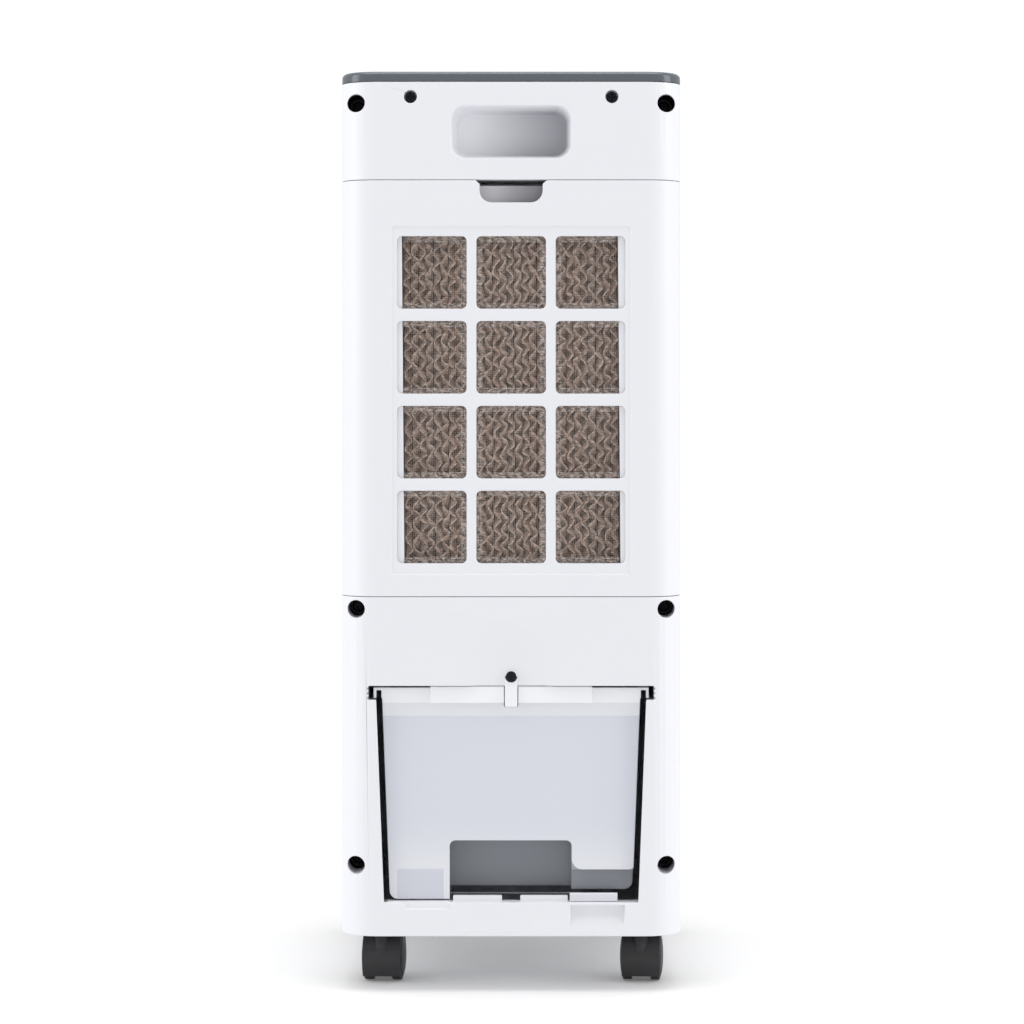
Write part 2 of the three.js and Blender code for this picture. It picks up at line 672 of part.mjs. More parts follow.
// ---------------------------------------------------------------- filter cover and its dust net
const NOTCH = { mouth: 26.5, half: 22.4, shoulder: 574, bottom: 560.9, radius: 8.5, wall: 129.8 };
function thumbNotch() {
  const { mouth, half, shoulder, bottom, radius } = NOTCH;
  const top = FRAME_Z1 + PAST;
  const shape = new THREE.Shape();
  shape.moveTo(-half + radius, bottom);
  shape.absarc(half - radius, bottom + radius, radius, -Math.PI / 2, 0, false);
  shape.lineTo(half, shoulder);
  shape.lineTo(mouth, top);
  shape.lineTo(-mouth, top);
  shape.lineTo(-half, shoulder);
  shape.absarc(-half + radius, bottom + radius, radius, Math.PI, 1.5 * Math.PI, false);
  return shape;
}

function filterCover() {
  const lip = 6;
  const start = BAY_Y + 2 * GAP;
  const tray = cut(
    alongZ(endPlan(1, start, 0), FRAME_Z0, FRAME_Z1),
    alongZ(endPlan(1, start - PAST, WALL), FRAME_Z0 + WALL, FRAME_Z1 - WALL),
    alongZ(endPlan(1, start - PAST, WALL + lip), FRAME_Z0 - PAST, FRAME_Z1 + PAST),
  );
  const pocket = cut(
    box(-29, 29, NOTCH.wall - 2.2, REAR - 1, 556, FRAME_Z1 - WALL + 0.1),
    box(-26.8, 26.8, NOTCH.wall, REAR + PAST, 558.2, FRAME_Z1 - WALL),
  );
  const catchSlot = polygon([
    [-NOTCH.half, NOTCH.shoulder - 0.6],
    [NOTCH.half, NOTCH.shoulder - 0.6],
    [NOTCH.half, NOTCH.shoulder],
    [NOTCH.mouth, FRAME_Z1 + PAST],
    [-NOTCH.mouth, FRAME_Z1 + PAST],
    [-NOTCH.half, NOTCH.shoulder],
  ]);
  const rail = (x) => box(x - 1, x + 1, 128.4, REAR - 1, 300, 542);
  const windows = [];
  for (let column = -1; column <= 1; column++) {
    for (let row = 0; row < 4; row++) {
      const x = column * WINDOW.pitchX;
      const z = WINDOW.z0 + row * WINDOW.pitchZ;
      const halfW = WINDOW.width / 2;
      const halfH = WINDOW.height / 2;
      const hole = roundedRectangle(x - halfW, x + halfW, z - halfH, z + halfH, WINDOW.radius);
      windows.push(alongY(hole, REAR - WALL - PAST, REAR + PAST, 2));
    }
  }
  const { halfWidth, z0, z1, depth } = FIELD;
  const field = roundedRectangle(-halfWidth, halfWidth, z0, z1, 2);
  return cut(
    join(tray, pocket, rail(-85.2), rail(85.2)),
    ...windows,
    alongY(field, REAR - depth, REAR + PAST, 1),
    alongY(thumbNotch(), NOTCH.wall, REAR + PAST, 3),
    alongY(catchSlot, 110, NOTCH.wall + PAST),
  );
}
add("filter_cover", filterCover(), WHITE);

function dustNet() {
  const border = 2.5;
  const [x, z0, z1] = [83, 299, 543];
  return cut(
    box(-x, x, 129, 131, z0, z1),
    box(-x + border, x - border, 128, 129.6, z0 + border, z1 - border),
    box(-x + border, x - border, 130.4, 132, z0 + border, z1 - border),
  );
}
add("dust_net", dustNet(), NYLON);

// ---------------------------------------------------------------- cooling pad and its water path
function padCarrier() {
  const { halfWidth, z0, z1, y0, y1 } = CARRIER;
  const inner = PAD.halfWidth + 0.6;
  return cut(
    box(-halfWidth, halfWidth, y0, y1, z0, z1),
    box(-inner, inner, y0 - PAST, y1 + PAST, PAD.z0 - 0.4, PAD.z1 + 0.4),
  );
}
add("pad_carrier", padCarrier(), WHITE);
add("cooling_pad", box(-PAD.halfWidth, PAD.halfWidth, PAD.y0, PAD.y1, PAD.z0, PAD.z1), KRAFT);

const TROUGH = { halfWidth: 83.5, y0: 99, y1: 126, z0: CARRIER.z1 + 0.6, z1: 558 };
function waterDistributor() {
  const { halfWidth, y0, y1, z0, z1 } = TROUGH;
  const holes = [];
  for (let x = -60; x <= 60; x += 20) {
    holes.push(alongZ(circle(x, (y0 + y1) / 2, 1.5), z0 - PAST, z1, 2));
  }
  return cut(
    box(-halfWidth, halfWidth, y0, y1, z0, z1),
    box(-halfWidth + 2, halfWidth - 2, y0 + 2, y1 - 2, z0 + 2, z1 + PAST),
    ...holes,
  );
}
add("water_distributor", waterDistributor(), WHITE);

function dividerTray() {
  const rail = OPENING.slotZ0 - 0.3;
  const plateZ = 219;
  const outline = polygon([
    [-104, rail - 2.5],
    [-96.5, rail - 2.5],
    [-96.5, rail],
    [-101.6, rail],
    [-101.6, plateZ],
    [101.6, plateZ],
    [101.6, rail],
    [96.5, rail],
    [96.5, rail - 2.5],
    [104, rail - 2.5],
    [104, plateZ + WALL],
    [-104, plateZ + WALL],
  ]);
  return cut(
    join(alongY(outline, -104, 132.6), box(-57.5, 57.5, 126.4, 128.6, 196, plateZ + 1)),
    box(-60, 40, 84, 108, 210, 240),
    alongZ(circle(HOSE_DOWN.x, HOSE_DOWN.y, 5.5), 210, 240, 5),
    box(-6, 6, 121, 135, 210, 240),
  );
}
add("divider_tray", dividerTray(), WHITE);

// ---------------------------------------------------------------- water tank
function tankProfile(inset, top) {
  const radius = 6 - inset;
  const lean = (TANK_TOP_HALF - TANK_LOW_HALF) / (RIM.z1 - FOOT.z);
  const halfAt = (z) => TANK_LOW_HALF + lean * (z - FOOT.z) - inset;
  const footZ = FOOT.z + inset;
  const floorZ = TANK_FLOOR + inset;
  const shape = new THREE.Shape();
  shape.moveTo(FOOT.x0 + inset, footZ);
  shape.lineTo(halfAt(footZ) - radius, footZ);
  shape.absarc(halfAt(footZ) - radius, footZ + radius, radius, -Math.PI / 2, 0, false);
  shape.lineTo(halfAt(top), top);
  shape.lineTo(-halfAt(top), top);
  shape.absarc(-halfAt(floorZ) + radius, floorZ + radius, radius, Math.PI, 1.5 * Math.PI, false);
  shape.lineTo(FOOT.x0 + inset, floorZ);
  return shape;
}

// The hollows under the rear wall: a hand grip in the middle and a step on the right.
function tankRecess(grow) {
  const below = FOOT.z - 5;
  const grip = roundedRectangle(GRIP.x0 - grow, GRIP.x1 + grow, below, GRIP.z + grow, 4);
  const step = roundedRectangle(-SIDE, GRIP.x0 + 8, below, STEP.z + grow, 4);
  return join(
    alongY(grip, GRIP.y - grow, REAR, 3),
    alongY(step, STEP.y - grow, REAR, 3),
  );
}

function waterTank() {
  const top = RIM.z1;
  const inside = cut(
    alongY(tankProfile(TANK_WALL, top + PAST), TANK_FRONT + TANK_WALL, TANK_REAR - TANK_WALL, 3),
    tankRecess(TANK_WALL),
  );
  const rim = cut(
    box(-RIM.halfWidth, RIM.halfWidth, RIM.front, TANK_REAR, RIM.z0, RIM.z1),
    box(-RIM.halfWidth + RIM.lip, -TANK_TOP_HALF - 0.2, RIM.front - PAST, REAR, 0, RIM.z1 - 2),
    box(TANK_TOP_HALF + 0.2, RIM.halfWidth - RIM.lip, RIM.front - PAST, REAR, 0, RIM.z1 - 2),
  );
  const plate = box(-PLATE.halfWidth, PLATE.halfWidth, TANK_REAR - 1, PLATE.y, PLATE.z0, PLATE.z1);
  const body = cut(alongY(tankProfile(0, top), TANK_FRONT, TANK_REAR, 3), tankRecess(0));
  const slot = LATCH.halfWidth + 0.5;
  const tail = LATCH.z - LATCH.tail - 0.5;
  return cut(join(body, rim, plate), inside, box(-slot, slot, 125, REAR, tail, 230));
}
add("water_tank", waterTank(), CLOUDY);

function tankLatch() {
  const { z, halfWidth, tail, corner, y0, y1 } = LATCH;
  const outline = new THREE.Shape();
  const bottom = z - tail + corner;
  outline.moveTo(-halfWidth + corner, bottom - corner);
  outline.absarc(halfWidth - corner, bottom, corner, -Math.PI / 2, 0, false);
  outline.absarc(0, z, halfWidth, 0, Math.PI, false);
  outline.absarc(-halfWidth + corner, bottom, corner, Math.PI, 1.5 * Math.PI, false);
  const hole = alongY(circle(0, z, LATCH_SCREW.shank + 0.5), 130, REAR, 3);
  return cut(alongY(outline, y0, y1, 4), hole);
}
add("tank_latch", tankLatch(), WHITE);

add(
  "latch_screw",
  join(
    alongY(circle(0, LATCH.z, LATCH_SCREW.head), 138.9, REAR - 0.1, 6),
    alongY(circle(0, LATCH.z, LATCH_SCREW.shank), 126, 139, 3),
  ),
  BLACK,
);

// ---------------------------------------------------------------- pump and hose
const PUMP = { x0: 48.5, x1: 81, y0: 90, y1: 128, z0: 68.3, z1: 85 };
function pump() {
  const { x0, x1, y0, y1, z0, z1 } = PUMP;
  return join(
    alongZ(roundedRectangle(x0, x1, y0, y1, 5), z0, z1, 3),
    alongZ(circle(HOSE_DOWN.x, HOSE_DOWN.y, 6), z1 - 1, z1 + 4, 5),
    box(58, 72, 123.5, 126, z1 - 1, 218.6),
  );
}
add("pump", pump(), BLACK);

function pumpHose() {
  const route = new THREE.CatmullRomCurve3([
    new THREE.Vector3(HOSE_DOWN.x, HOSE_DOWN.y, PUMP.z1 + 4.4),
    new THREE.Vector3(HOSE_DOWN.x, HOSE_DOWN.y, 160),
    new THREE.Vector3(HOSE_DOWN.x, HOSE_DOWN.y, 232),
    new THREE.Vector3(HOSE_DOWN.x + 8, HOSE_DOWN.y, 248),
    new THREE.Vector3(HOSE_UP.x - 4, HOSE_UP.y, 260),
    new THREE.Vector3(HOSE_UP.x, HOSE_UP.y, 276),
    new THREE.Vector3(HOSE_UP.x, HOSE_UP.y, 400),
    new THREE.Vector3(HOSE_UP.x, HOSE_UP.y, 534),
    new THREE.Vector3(HOSE_UP.x - 1, HOSE_UP.y, 546),
    new THREE.Vector3(TROUGH.halfWidth + 2.4, HOSE_UP.y, 550),
  ]);
  const section = new THREE.Shape();
  section.absarc(0, 0, HOSE_RADIUS, 0, 2 * Math.PI, false);
  return toSolid(
    new THREE.ExtrudeGeometry(section, { extrudePath: route, steps: 22, curveSegments: 4 }),
  );
}
add("pump_hose", pumpHose(), SILICONE);

// ---------------------------------------------------------------- twin-wheel casters
const WHEEL = { radius: 17.5, inner: 7, outer: 13.2, shoulder: 14.6, dome: 15.9, bore: 2.9 };
const HOOD = { radius: 19.3, half: 13.8, web: 6.6, cavity: 18.3, skirt: 4.4 };
const HOOD_CONE = { top: 5.6, bottom: 4.2, height: 20, z: 31.4 };

// Drawn with its swivel axis on Z and its axle trailing towards -Y.
function casterHood() {
  const y = -CASTER.trail;
  const z = WHEEL.radius;
  const drum = alongX(circle(y, z, HOOD.radius), -HOOD.half, HOOD.half, 16);
  const cavity = (x0, x1) => alongX(circle(y, z, HOOD.cavity), x0, x1, 16);
  const { top, bottom, height } = HOOD_CONE;
  const cone = toSolid(
    new THREE.CylinderGeometry(top, bottom, height, 12)
      .rotateX(Math.PI / 2)
      .translate(0, 0, HOOD_CONE.z),
  );
  return join(
    cut(
      join(drum, cone),
      cavity(-HOOD.half - 3, -HOOD.web),
      cavity(HOOD.web, HOOD.half + 3),
      box(-30, 30, -60, 30, -5, HOOD.skirt),
    ),
    alongX(circle(y, z, 2.5), 1 - WHEEL.outer, WHEEL.outer - 1, 4),
    alongZ(circle(0, 0, CASTER.stem), 41, 56, 4),
  );
}

function casterWheel(side) {
  const { radius, inner, outer, shoulder, dome, bore } = WHEEL;
  const profile = [
    [0.01, dome],
    [8, dome - 0.3],
    [13.5, shoulder],
    [radius - 0.6, outer],
    [radius, outer - 0.6],
    [radius, inner],
    [bore, inner],
    [bore, outer - 0.5],
    [0.01, outer - 0.5],
  ];
  const points = profile.map(([r, along]) => new THREE.Vector2(r < 0.1 ? 0 : r, along));
  const wheel = toSolid(new THREE.LatheGeometry([...points.reverse()], 20));
  const spin = new THREE.Matrix4().makeRotationZ((-side * Math.PI) / 2);
  const place = new THREE.Matrix4().makeTranslation(0, -CASTER.trail, WHEEL.radius);
  return wheel.transform(place.multiply(spin).elements);
}

const CASTERS = [
  ["rear_left", CASTER.x, CASTER.y, -5],
  ["rear_right", -CASTER.x, CASTER.y, -5],
  ["front_left", CASTER.x, -CASTER.y, 14],
  ["front_right", -CASTER.x, -CASTER.y, -10],
];
for (const [place, x, y, yaw] of CASTERS) {
  const caster = new THREE.Group();
  caster.position.set(x, y, 0);
  caster.rotation.z = THREE.MathUtils.degToRad(yaw);
  cooler.add(caster);
  add(`caster_hood_${place}`, casterHood(), DARK, caster);
  add(`wheel_${place}_a`, casterWheel(1), BLACK, caster);
  add(`wheel_${place}_b`, casterWheel(-1), BLACK, caster);
}

export default cooler;
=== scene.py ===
import json
import math
import random

import bpy
from mathutils import Matrix, Vector


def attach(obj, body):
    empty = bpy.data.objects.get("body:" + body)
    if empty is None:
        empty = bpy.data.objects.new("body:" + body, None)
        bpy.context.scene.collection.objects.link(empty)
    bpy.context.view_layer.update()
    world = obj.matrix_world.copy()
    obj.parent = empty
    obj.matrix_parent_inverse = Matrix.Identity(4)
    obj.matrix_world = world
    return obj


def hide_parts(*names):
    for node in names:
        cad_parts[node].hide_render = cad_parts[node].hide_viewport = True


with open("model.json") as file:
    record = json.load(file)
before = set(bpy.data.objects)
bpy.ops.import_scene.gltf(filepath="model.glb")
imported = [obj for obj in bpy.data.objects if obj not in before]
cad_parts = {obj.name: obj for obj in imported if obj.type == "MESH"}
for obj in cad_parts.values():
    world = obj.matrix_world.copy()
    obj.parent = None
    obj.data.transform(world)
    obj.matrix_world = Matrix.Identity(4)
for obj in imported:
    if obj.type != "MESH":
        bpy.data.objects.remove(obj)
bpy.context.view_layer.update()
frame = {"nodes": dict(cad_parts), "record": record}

# ---------------------------------------------------------------- camera
# A level camera looks at the rear of the cooler, a little above the middle of the cabinet.
# The lens is shifted down, so that the uprights stay parallel.
EYE_HEIGHT = 0.424
EYE_DISTANCE = 2.34
EYE_SIDE = -0.0006
LENS_MM = 109
SENSOR_MM = 36
bpy.ops.object.camera_add(
    location=(EYE_SIDE, EYE_DISTANCE, EYE_HEIGHT),
    rotation=(math.pi / 2, 0, math.pi),
)
camera = bpy.context.object
camera.data.sensor_width = SENSOR_MM
camera.data.lens = LENS_MM
camera.data.shift_y = -0.114
camera.data.clip_start = 0.05
bpy.context.scene.camera = camera

# ---------------------------------------------------------------- floor and lights
# A white paper sweep on the studio floor, lit through from behind where it is far away. Close to
# the cooler it glows faintly too, painted light that lifts the shadow under it. Two tall soft
# boxes stand at the sides of the cooler, a third hangs over it, and the white walls of the room
# fill the rest.
FLOOR_SIZE = 14
FAR_START = 0.2
FAR_END = 0.8
NEAR_GLOW = 0.1
WHITE_PAPER = (0.92, 0.92, 0.92, 1)
PAPER_ROUGHNESS = 0.9
PAPER_GLOW = 1.05
SIDE_BOX = {"size": (0.7, 1.8), "watts": 11}
TOP_BOX = {"size": (2.2, 1.6), "watts": 36}
MIDDLE = (0, 0, 0.35)
ROOM_LIGHT = 0.68
SEEN_WALL = 1.05


def studio_floor():
    bpy.ops.mesh.primitive_plane_add(size=FLOOR_SIZE, location=(0, 0, 0))
    floor = bpy.context.object
    floor.name = "studio_floor"
    paper = bpy.data.materials.new("sweep_paper")
    paper.use_nodes = True
    tree = paper.node_tree
    shader = tree.nodes["Principled BSDF"]
    shader.inputs["Base Color"].default_value = WHITE_PAPER
    shader.inputs["Roughness"].default_value = PAPER_ROUGHNESS
    where = tree.nodes.new("ShaderNodeTexCoord")
    reach = tree.nodes.new("ShaderNodeVectorMath")
    reach.operation = "LENGTH"
    tree.links.new(where.outputs["Object"], reach.inputs[0])
    far = tree.nodes.new("ShaderNodeMapRange")
    far.interpolation_type = "SMOOTHSTEP"
    far.inputs["From Min"].default_value = FAR_START
    far.inputs["From Max"].default_value = FAR_END
    far.inputs["To Min"].default_value = NEAR_GLOW
    tree.links.new(reach.outputs["Value"], far.inputs["Value"])
    glow = tree.nodes.new("ShaderNodeEmission")
    glow.inputs["Strength"].default_value = PAPER_GLOW
    blend = tree.nodes.new("ShaderNodeMixShader")
    tree.links.new(far.outputs["Result"], blend.inputs["Fac"])
    tree.links.new(shader.outputs["BSDF"], blend.inputs[1])
    tree.links.new(glow.outputs["Emission"], blend.inputs[2])
    tree.links.new(blend.outputs["Shader"], tree.nodes["Material Output"].inputs["Surface"])
    floor.data.materials.append(paper)


def soft_box(name, place, size, watts):
    """A rectangular lamp that faces the middle of the cooler."""
    lamp = bpy.data.lights.new(name, "AREA")
    lamp.shape = "RECTANGLE"
    lamp.size, lamp.size_y = size
    lamp.energy = watts
    box = bpy.data.objects.new(name, lamp)
    box.location = place
    box.rotation_euler = (Vector(MIDDLE) - Vector(place)).to_track_quat("-Z", "Y").to_euler()
    bpy.context.scene.collection.objects.link(box)


studio_floor()
soft_box("soft_box_left", (1.7, 0.5, 0.7), **SIDE_BOX)
soft_box("soft_box_right", (-1.7, 0.5, 0.7), **SIDE_BOX)
soft_box("soft_box_top", (0, 0.2, 2.6), **TOP_BOX)

world = bpy.data.worlds.new("white_room")
bpy.context.scene.world = world
world.use_nodes = True
room = world.node_tree
walls = room.nodes["Background"]
walls.inputs["Color"].default_value = (1, 1, 1, 1)
ray = room.nodes.new("ShaderNodeLightPath")
strength = room.nodes.new("ShaderNodeMapRange")
strength.inputs["To Min"].default_value = ROOM_LIGHT
strength.inputs["To Max"].default_value = SEEN_WALL
room.links.new(ray.outputs["Is Camera Ray"], strength.inputs["Value"])
room.links.new(strength.outputs["Result"], walls.inputs["Strength"])
bpy.context.scene.view_settings.view_transform = "Standard"

# ---------------------------------------------------------------- rear housing
# The rear half of the cabinet: one injection moulding in white ABS with a fine satin texture. It
# holds the handle recess, the screw wells, the bay of the filter cover and the mouth of the tank.
# Every outer edge has the small radius that the mould leaves.
EDGE_ANGLE = math.radians(32)
FLAT_ANGLE = math.radians(1.2)
WELD = 1e-6
SLIVER = 2e-5
FLOW_SIZE = 0.07
FLOW_STRETCH = (1, 1, 2.5)


class Amount:
    """A number that changes over a surface: a socket that sums can be written with."""

    def __init__(self, finish, socket):
        self.finish = finish
        self.socket = socket

    def _math(self, operation, *values):
        return self.finish.node("ShaderNodeMath", {"operation": operation}, values)

    def __add__(self, other):
        return self._math("ADD", self, other)

    __radd__ = __add__

    def __sub__(self, other):
        return self._math("SUBTRACT", self, other)

    def __rsub__(self, other):
        return self._math("SUBTRACT", other, self)

    def __mul__(self, other):
        return self._math("MULTIPLY", self, other)

    __rmul__ = __mul__

    def __gt__(self, other):
        return self._math("GREATER_THAN", self, other)

    def __lt__(self, other):
        return self._math("LESS_THAN", self, other)

    def __pow__(self, other):
        return self._math("POWER", self, other)

    def __abs__(self):
        return self._math("ABSOLUTE", self)


class Finish:
    """A material whose nodes are added one after another."""

    def __init__(self, name, **constants):
        self.material = bpy.data.materials.new(name)
        self.material.use_nodes = True
        self.tree = self.material.node_tree
        self.shader = self.tree.nodes["Principled BSDF"]
        for socket, value in constants.items():
            self.shader.inputs[socket.replace("_", " ")].default_value = value

    def node(self, kind, settings, values, output=0):
        """Adds a node: first its settings, and then the values or links of its sockets."""
        made = self.tree.nodes.new(kind)
        for name, value in settings.items():
            setattr(made, name, value)
        pairs = values.items() if isinstance(values, dict) else enumerate(values)
        for socket, value in pairs:
            self.put(made.inputs[socket], value)
        return Amount(self, made.outputs[output])

    def put(self, socket, value):
        if isinstance(value, Amount):
            self.tree.links.new(value.socket, socket)
        else:
            socket.default_value = value

    def feed(self, socket, value):
        self.put(self.shader.inputs[socket], value)

    def place(self, stretch=(1, 1, 1), centre=(0, 0, 0)):
        """The point of the surface in metres, from centre and drawn out by stretch."""
        where = self.node("ShaderNodeTexCoord", {}, {}, "Object")
        return self.node(
            "ShaderNodeMapping",
            {"vector_type": "TEXTURE"},
            {"Vector": where, "Location": centre, "Scale": stretch},
        )

    def along(self, axis):
        """How far the surface lies along the X, Y or Z axis, in metres."""
        where = self.node("ShaderNodeTexCoord", {}, {}, "Object")
        return self.node("ShaderNodeSeparateXYZ", {}, {"Vector": where}, axis)

    def noise(self, size, detail=2, stretch=(1, 1, 1)):
        """Soft blotches about size metres across, from 0 to 1."""
        return self.node(
            "ShaderNodeTexNoise",
            {},
            {"Vector": self.place(stretch), "Scale": 1 / size, "Detail": detail},
        )

    def band(self, value, low, high):
        """0 below low, 1 above high and a smooth step between them."""
        return self.node(
            "ShaderNodeMapRange",
            {"interpolation_type": "SMOOTHSTEP"},
            {"Value": value, "From Min": low, "From Max": high},
        )

    def mix(self, share, first, second):
        """The first colour where share is 0, and the second where it is 1."""
        return self.node(
            "ShaderNodeMix",
            {"data_type": "RGBA"},
            {0: share, 6: first, 7: second},
            2,
        )

    def bump(self, height, depth):
        """Relief of at most depth metres where height goes from 0 to 1."""
        relief = self.node("ShaderNodeBump", {}, {"Height": height, "Distance": depth, "Strength": 1})
        self.feed("Normal", relief)


def moulded(name, light, dark, roughness, grain=0.0004, depth=0.000012, shade=None, **constants):
    """Injection-moulded plastic: a spark-eroded grain and faint flow marks. shade gives pairs of
    a share and the colour that this share of the surface takes."""
    finish = Finish(name, **constants)
    flow = finish.noise(FLOW_SIZE, 3, FLOW_STRETCH)
    specks = finish.noise(grain, 2)
    colour = finish.mix(flow, (*dark, 1), (*light, 1))
    for share, tint in shade(finish) if shade else []:
        colour = finish.mix(share, colour, (*tint, 1))
    finish.feed("Base Color", colour)
    finish.feed("Roughness", roughness + 0.1 * (specks - 0.5) + 0.06 * (flow - 0.5))
    finish.bump(specks, depth)
    return finish.material


def only(piece):
    """Leaves one piece selected and active."""
    if bpy.context.object and bpy.context.object.mode != "OBJECT":
        bpy.ops.object.mode_set(mode="OBJECT")
    bpy.ops.object.select_all(action="DESELECT")
    piece.select_set(True)
    bpy.context.view_layer.objects.active = piece


def apply_modifier(piece, kind, **settings):
    only(piece)
    modifier = piece.modifiers.new(kind.lower(), kind)
    for name, value in settings.items():
        setattr(modifier, name, value)
    bpy.ops.object.modifier_apply(modifier=modifier.name)


def round_edges(piece, radius, segments=2, angle=EDGE_ANGLE, spare=None):
    """Rounds the edges sharper than angle, but for those with both ends where spare is true."""
    only(piece)
    bpy.ops.object.mode_set(mode="EDIT")
    bpy.ops.mesh.select_mode(type="EDGE")
    bpy.ops.mesh.select_all(action="DESELECT")
    bpy.ops.mesh.edges_select_sharp(sharpness=angle)
    bpy.ops.object.mode_set(mode="OBJECT")
    weights = piece.data.attributes.new("bevel_weight_edge", "FLOAT", "EDGE")
    for edge in piece.data.edges:
        ends = [piece.data.vertices[index].co for index in edge.vertices]
        spared = spare is not None and all(spare(end) for end in ends)
        weights.data[edge.index].value = float(edge.select and not spared)
    apply_modifier(
        piece,
        "BEVEL",
        width=radius,
        segments=segments,
        limit_method="WEIGHT",
        use_clamp_overlap=False,
        miter_outer="MITER_ARC",
    )


def smooth(piece):
    """Shades the curved faces smooth, and keeps the flat ones flat."""
    only(piece)
    bpy.ops.object.shade_smooth_by_angle(angle=EDGE_ANGLE)
    apply_modifier(piece, "WEIGHTED_NORMAL", keep_sharp=True)


def pick(piece, chosen):
    """Goes into edit mode with the chosen faces selected."""
    only(piece)
    bpy.ops.object.mode_set(mode="EDIT")
    bpy.ops.mesh.select_mode(type="FACE")
    bpy.ops.mesh.select_all(action="DESELECT")
    bpy.ops.object.mode_set(mode="OBJECT")
    for face in piece.data.polygons:
        face.select = chosen(face)
    bpy.ops.object.mode_set(mode="EDIT")


def shell_of(node, name, whole=None):
    """A merged copy of a solid. The flat faces for which whole is true are each made one."""
    piece = bpy.data.objects.new(name, frame["nodes"][node].data.copy())
    bpy.context.scene.collection.objects.link(piece)
    piece.data.materials.clear()
    only(piece)
    bpy.ops.object.mode_set(mode="EDIT")
    bpy.ops.mesh.select_all(action="SELECT")
    bpy.ops.mesh.remove_doubles(threshold=WELD)
    bpy.ops.mesh.dissolve_degenerate(threshold=SLIVER)
    bpy.ops.object.mode_set(mode="OBJECT")
    if whole:
        pick(piece, whole)
        bpy.ops.mesh.dissolve_limited(angle_limit=FLAT_ANGLE)
        bpy.ops.object.mode_set(mode="OBJECT")
    return piece


BODY_OF = {node: body for body, nodes in frame["record"]["behaviour"]["bodies"].items() for node in nodes}


def fit(piece, node, material):
    """Gives the piece its finish and puts it in the place of the solid."""
    piece.data.materials.append(material)
    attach(piece, BODY_OF[node])
    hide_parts(node)
    return piece


def finished(node, material, radius=0.0004, segments=2, whole=None, spare=None):
    """The piece of that node, with its edges rounded, in its finish and in its place."""
    piece = shell_of(node, node + "_finished", whole)
    if radius:
        round_edges(piece, radius, segments, spare=spare)
    smooth(piece)
    return fit(piece, node, material)


WHITE = (0.80, 0.81, 0.845)
WHITE_SHADE = (0.785, 0.795, 0.832)
PAINTED_SHADE_BLACK = (0.004, 0.004, 0.005)
PAINTED_LIT_WALL = (0.74, 0.74, 0.77)
WELL_X = 0.1102
WELL_HEIGHTS = (0.090, 0.272, 0.6317)
WELL_REACH = 0.0067
LIT_BELOW = 0.4
LIT_DEPTHS = (0.138, 0.134)
LOW_DARK_DEPTHS = (0.116, 0.101)
HIGH_DARK_DEPTHS = (0.1375, 0.126)
SCOOP_DEPTH = 0.136
SCOOP_Z = 0.2244
SCOOP_REACH = 0.0385


def well_shade(finish):
    """Painted shade turns the top screw wells black a little way in. The low ones keep a pale grey
    wall near the mouth, painted light, and painted shade turns them black deeper down."""
    across = abs(finish.along("X")) - WELL_X
    height = finish.along("Z")
    depth = finish.along("Y")
    shares = []
    for level in WELL_HEIGHTS:
        up = height - level
        inside = (across * across + up * up) ** 0.5 < WELL_REACH
        if level < LIT_BELOW:
            shares.append((inside * finish.band(depth, *LIT_DEPTHS), PAINTED_LIT_WALL))
            shares.append((inside * finish.band(depth, *LOW_DARK_DEPTHS), PAINTED_SHADE_BLACK))
        else:
            shares.append((inside * finish.band(depth, *HIGH_DARK_DEPTHS), PAINTED_SHADE_BLACK))
    return shares


white_abs = moulded("white_satin_abs", WHITE, WHITE_SHADE, 0.42, Specular_IOR_Level=0.4)
# The same ABS, with painted shade and painted light in the screw wells.
well_abs = moulded(
    "white_satin_abs_with_wells", WHITE, WHITE_SHADE, 0.42, shade=well_shade, Specular_IOR_Level=0.4
)


def in_scoop(point):
    """True on the wide shallow scoop round the tank latch."""
    return point.y > SCOOP_DEPTH and math.hypot(point.x, point.z - SCOOP_Z) < SCOOP_REACH


finished("rear_housing", well_abs, 0.0006, 3, spare=in_scoop)

# ---------------------------------------------------------------- handle recess
# A tapered cup of the same white ABS, clipped behind the opening near the top of the rear wall.
# Four fingers reach into it to lift the cooler. Deep in, its wall is painted paler as painted
# light, and its right-hand side, where little light reaches, is painted in shade.
CUP_DEPTHS = (0.137, 0.118)
CUP_LEFT_TO_RIGHT = (0.050, -0.044)
CUP_PAINTED_LIGHT = (0.93, 0.93, 0.965)
CUP_PAINTED_SHADOW = (0.43, 0.43, 0.47)


def cup_shade(finish):
    # Painted light deep in the cup, and painted shade on its right-hand side.
    deep = finish.band(finish.along("Y"), *CUP_DEPTHS)
    right = finish.band(finish.along("X"), *CUP_LEFT_TO_RIGHT)
    return [(deep, CUP_PAINTED_LIGHT), (deep * right, CUP_PAINTED_SHADOW)]


cup_abs = moulded("handle_cup_abs", WHITE, WHITE_SHADE, 0.42, shade=cup_shade, Specular_IOR_Level=0.4)
finished("handle_cup", cup_abs, 0.0012, 4)

# ---------------------------------------------------------------- pad bulkhead
# The inner wall of the bay in front of the pad, with the opening that lets the air through. It is
# a flat ABS moulding, screwed between the two ledges of the bay.
finished("pad_bulkhead", white_abs, 0.0004, 2)

# ---------------------------------------------------------------- screws of the rear housing
# Black oxide pan-head screws with a cross recess. Two hold the top of the rear wall, and six long
# ones sit at the bottom of the deep wells in the corners and draw the two halves together.
CROSS_LENGTH = 0.66
CROSS_WIDTH = 0.2
CROSS_DEPTH = 0.8
CROWN_ROUND = 0.35
RIM_ROUND = 0.45
HANDLE_SCREW_X = 0.0715
HANDLE_SCREW_Z = 0.636
HANDLE_SCREW = {"y0": 0.1338, "y1": 0.1363, "radius": 0.0039}
WELL_SCREW = {"y0": 0.1002, "y1": 0.1030, "radius": 0.0042}


